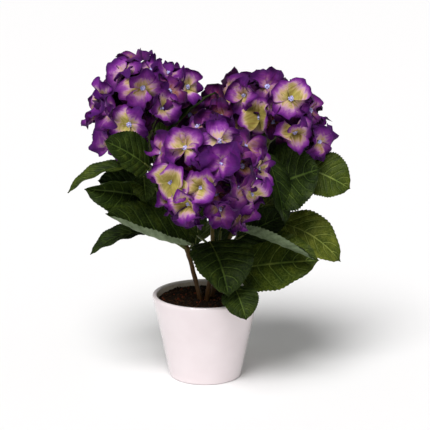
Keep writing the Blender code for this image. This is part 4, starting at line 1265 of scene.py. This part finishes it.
def add_branches(name, florets, material):
    """The neck of a head, the branches it parts into, and a pedicel flaring into every floret's back."""
    tube = tube_template(TUBE_SIDES, SHOOT_POINTS - 1)
    bm = bmesh.new()
    centre, crown = bloom_frame(name)
    path = stem_path(name)
    axis = (path[-1] - path[-2]).normalized()
    start = path[-1] - axis * 2
    neck = smooth_path([start, *(start + axis * out for out in NECK_STRAIGHT), centre], SHOOT_POINTS)
    add_tube(bm, tube, neck, taper((STEM_TIP_RADIUS, STEM_TIP_RADIUS * NECK_SHARE), SHOOT_POINTS))
    root = neck[NECK_PARTING]
    tips = []
    for facing in spread_headings(crown, BRANCH_COUNT):
        tip = centre + facing * BLOOM_RADII[name] * BRANCH_REACH
        branch = smooth_path([root, root.lerp(tip, 0.5) + axis * 3, tip], SHOOT_POINTS)
        add_tube(bm, tube, branch, taper(BRANCH_RADII, SHOOT_POINTS))
        tips.append(branch[-3])
    for floret in florets:
        root = min(tips, key=lambda tip: (tip - floret.place).length)
        back = floret.place - floret.aim * 6
        pedicel = smooth_path(
            [root, root.lerp(back, 0.6) + axis * 2, back, floret.place + floret.aim], SHOOT_POINTS)
        add_tube(bm, tube, pedicel, [PEDICEL_RADIUS + PEDICEL_FLARE * max(0, (step - 8) / 4) ** 2
                                     for step in range(SHOOT_POINTS)])
    add_piece(f"{name}_branches", bm, [material], "stems", f"bloom_{name}")


def add_floor():
    """The plain pale floor the pot stands on."""
    bm = bmesh.new()
    bmesh.ops.create_grid(bm, x_segments=1, y_segments=1, size=FLOOR_SIZE)
    mesh = as_mesh(bm, "floor")
    mesh.materials.append(new_material("matt paper", {"Base Color": linear("f4f3f3"), "Roughness": 0.9})[0])
    put_in_scene("floor", mesh)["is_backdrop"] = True


def light_and_camera():
    """Soft light from the front, over the left shoulder, a pale surround, and the camera."""
    scene = bpy.context.scene
    lamp = bpy.data.lights.new("key", "SUN")
    lamp.energy = KEY_STRENGTH
    lamp.angle = radians(KEY_SOFTNESS)
    put_in_scene("key", lamp).rotation_euler = heading(*KEY_FROM).to_track_quat("Z", "Y").to_euler()
    world = bpy.data.worlds.new("studio")
    world.use_nodes = True
    surround = world.node_tree.nodes["Background"]
    surround.inputs["Color"].default_value = linear("ffffff")
    surround.inputs["Strength"].default_value = SURROUND
    scene.world = world
    lens = bpy.data.cameras.new("camera")
    lens.lens = CAMERA_LENS
    lens.sensor_width = 36
    camera = put_in_scene("camera", lens)
    camera.location = Vector(CAMERA_PLACE) * MM
    camera.rotation_euler = (radians(90 - CAMERA_DOWN), 0, 0)
    scene.camera = camera
    scene.view_settings.view_transform = "Standard"


def main():
    light_and_camera()
    add_floor()
    finishes = {name: clouded_material(name, *looks) for name, looks in CLOUDED.items()}
    add_pot([glaze(), finishes["thinly glazed biscuit"]])
    add_soil(*(finishes[name] for name in EARTHS))
    masses = all_leaf_masses()
    add_stems(stem_plastic(), masses)
    add_stalks(masses, finishes["green polythene"])
    blade = sheet_template(BLADE_STATIONS, BLADE_COLUMNS, "blade", lambda x, y: ((x + 1) / 2, (1 - y) / 2))
    sides = [leaf_material(*side) for side in LEAF_SIDES]
    for name, (_, _, leaves) in masses.items():
        add_blades(name, [*leaves, *YOUNG_LEAVES.get(name, ())], sides, blade)
    blocked = obstacles(masses)
    silk = petal_silk()
    for name in BLOOM_CENTRES:
        outer = bloom_florets(name, blocked)
        inner = inner_florets(name, outer, blocked)
        add_petals(name, outer, silk, PETAL_GRIDS["outer"], "outer", FLORET_DYES_AND_SHADES[name])
        add_petals(name, inner, silk, PETAL_GRIDS["inner"], "inner", ())
        add_beads(name, [*outer, *inner], finishes["pearl bead plastic"])
        add_branches(name, [*outer, *inner], finishes["green polythene"])
    sizes = {"cad": CAD_BOX, "visual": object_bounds()}
    {kind: [list(corner) for corner in box] for kind, box in sizes.items()}


main()
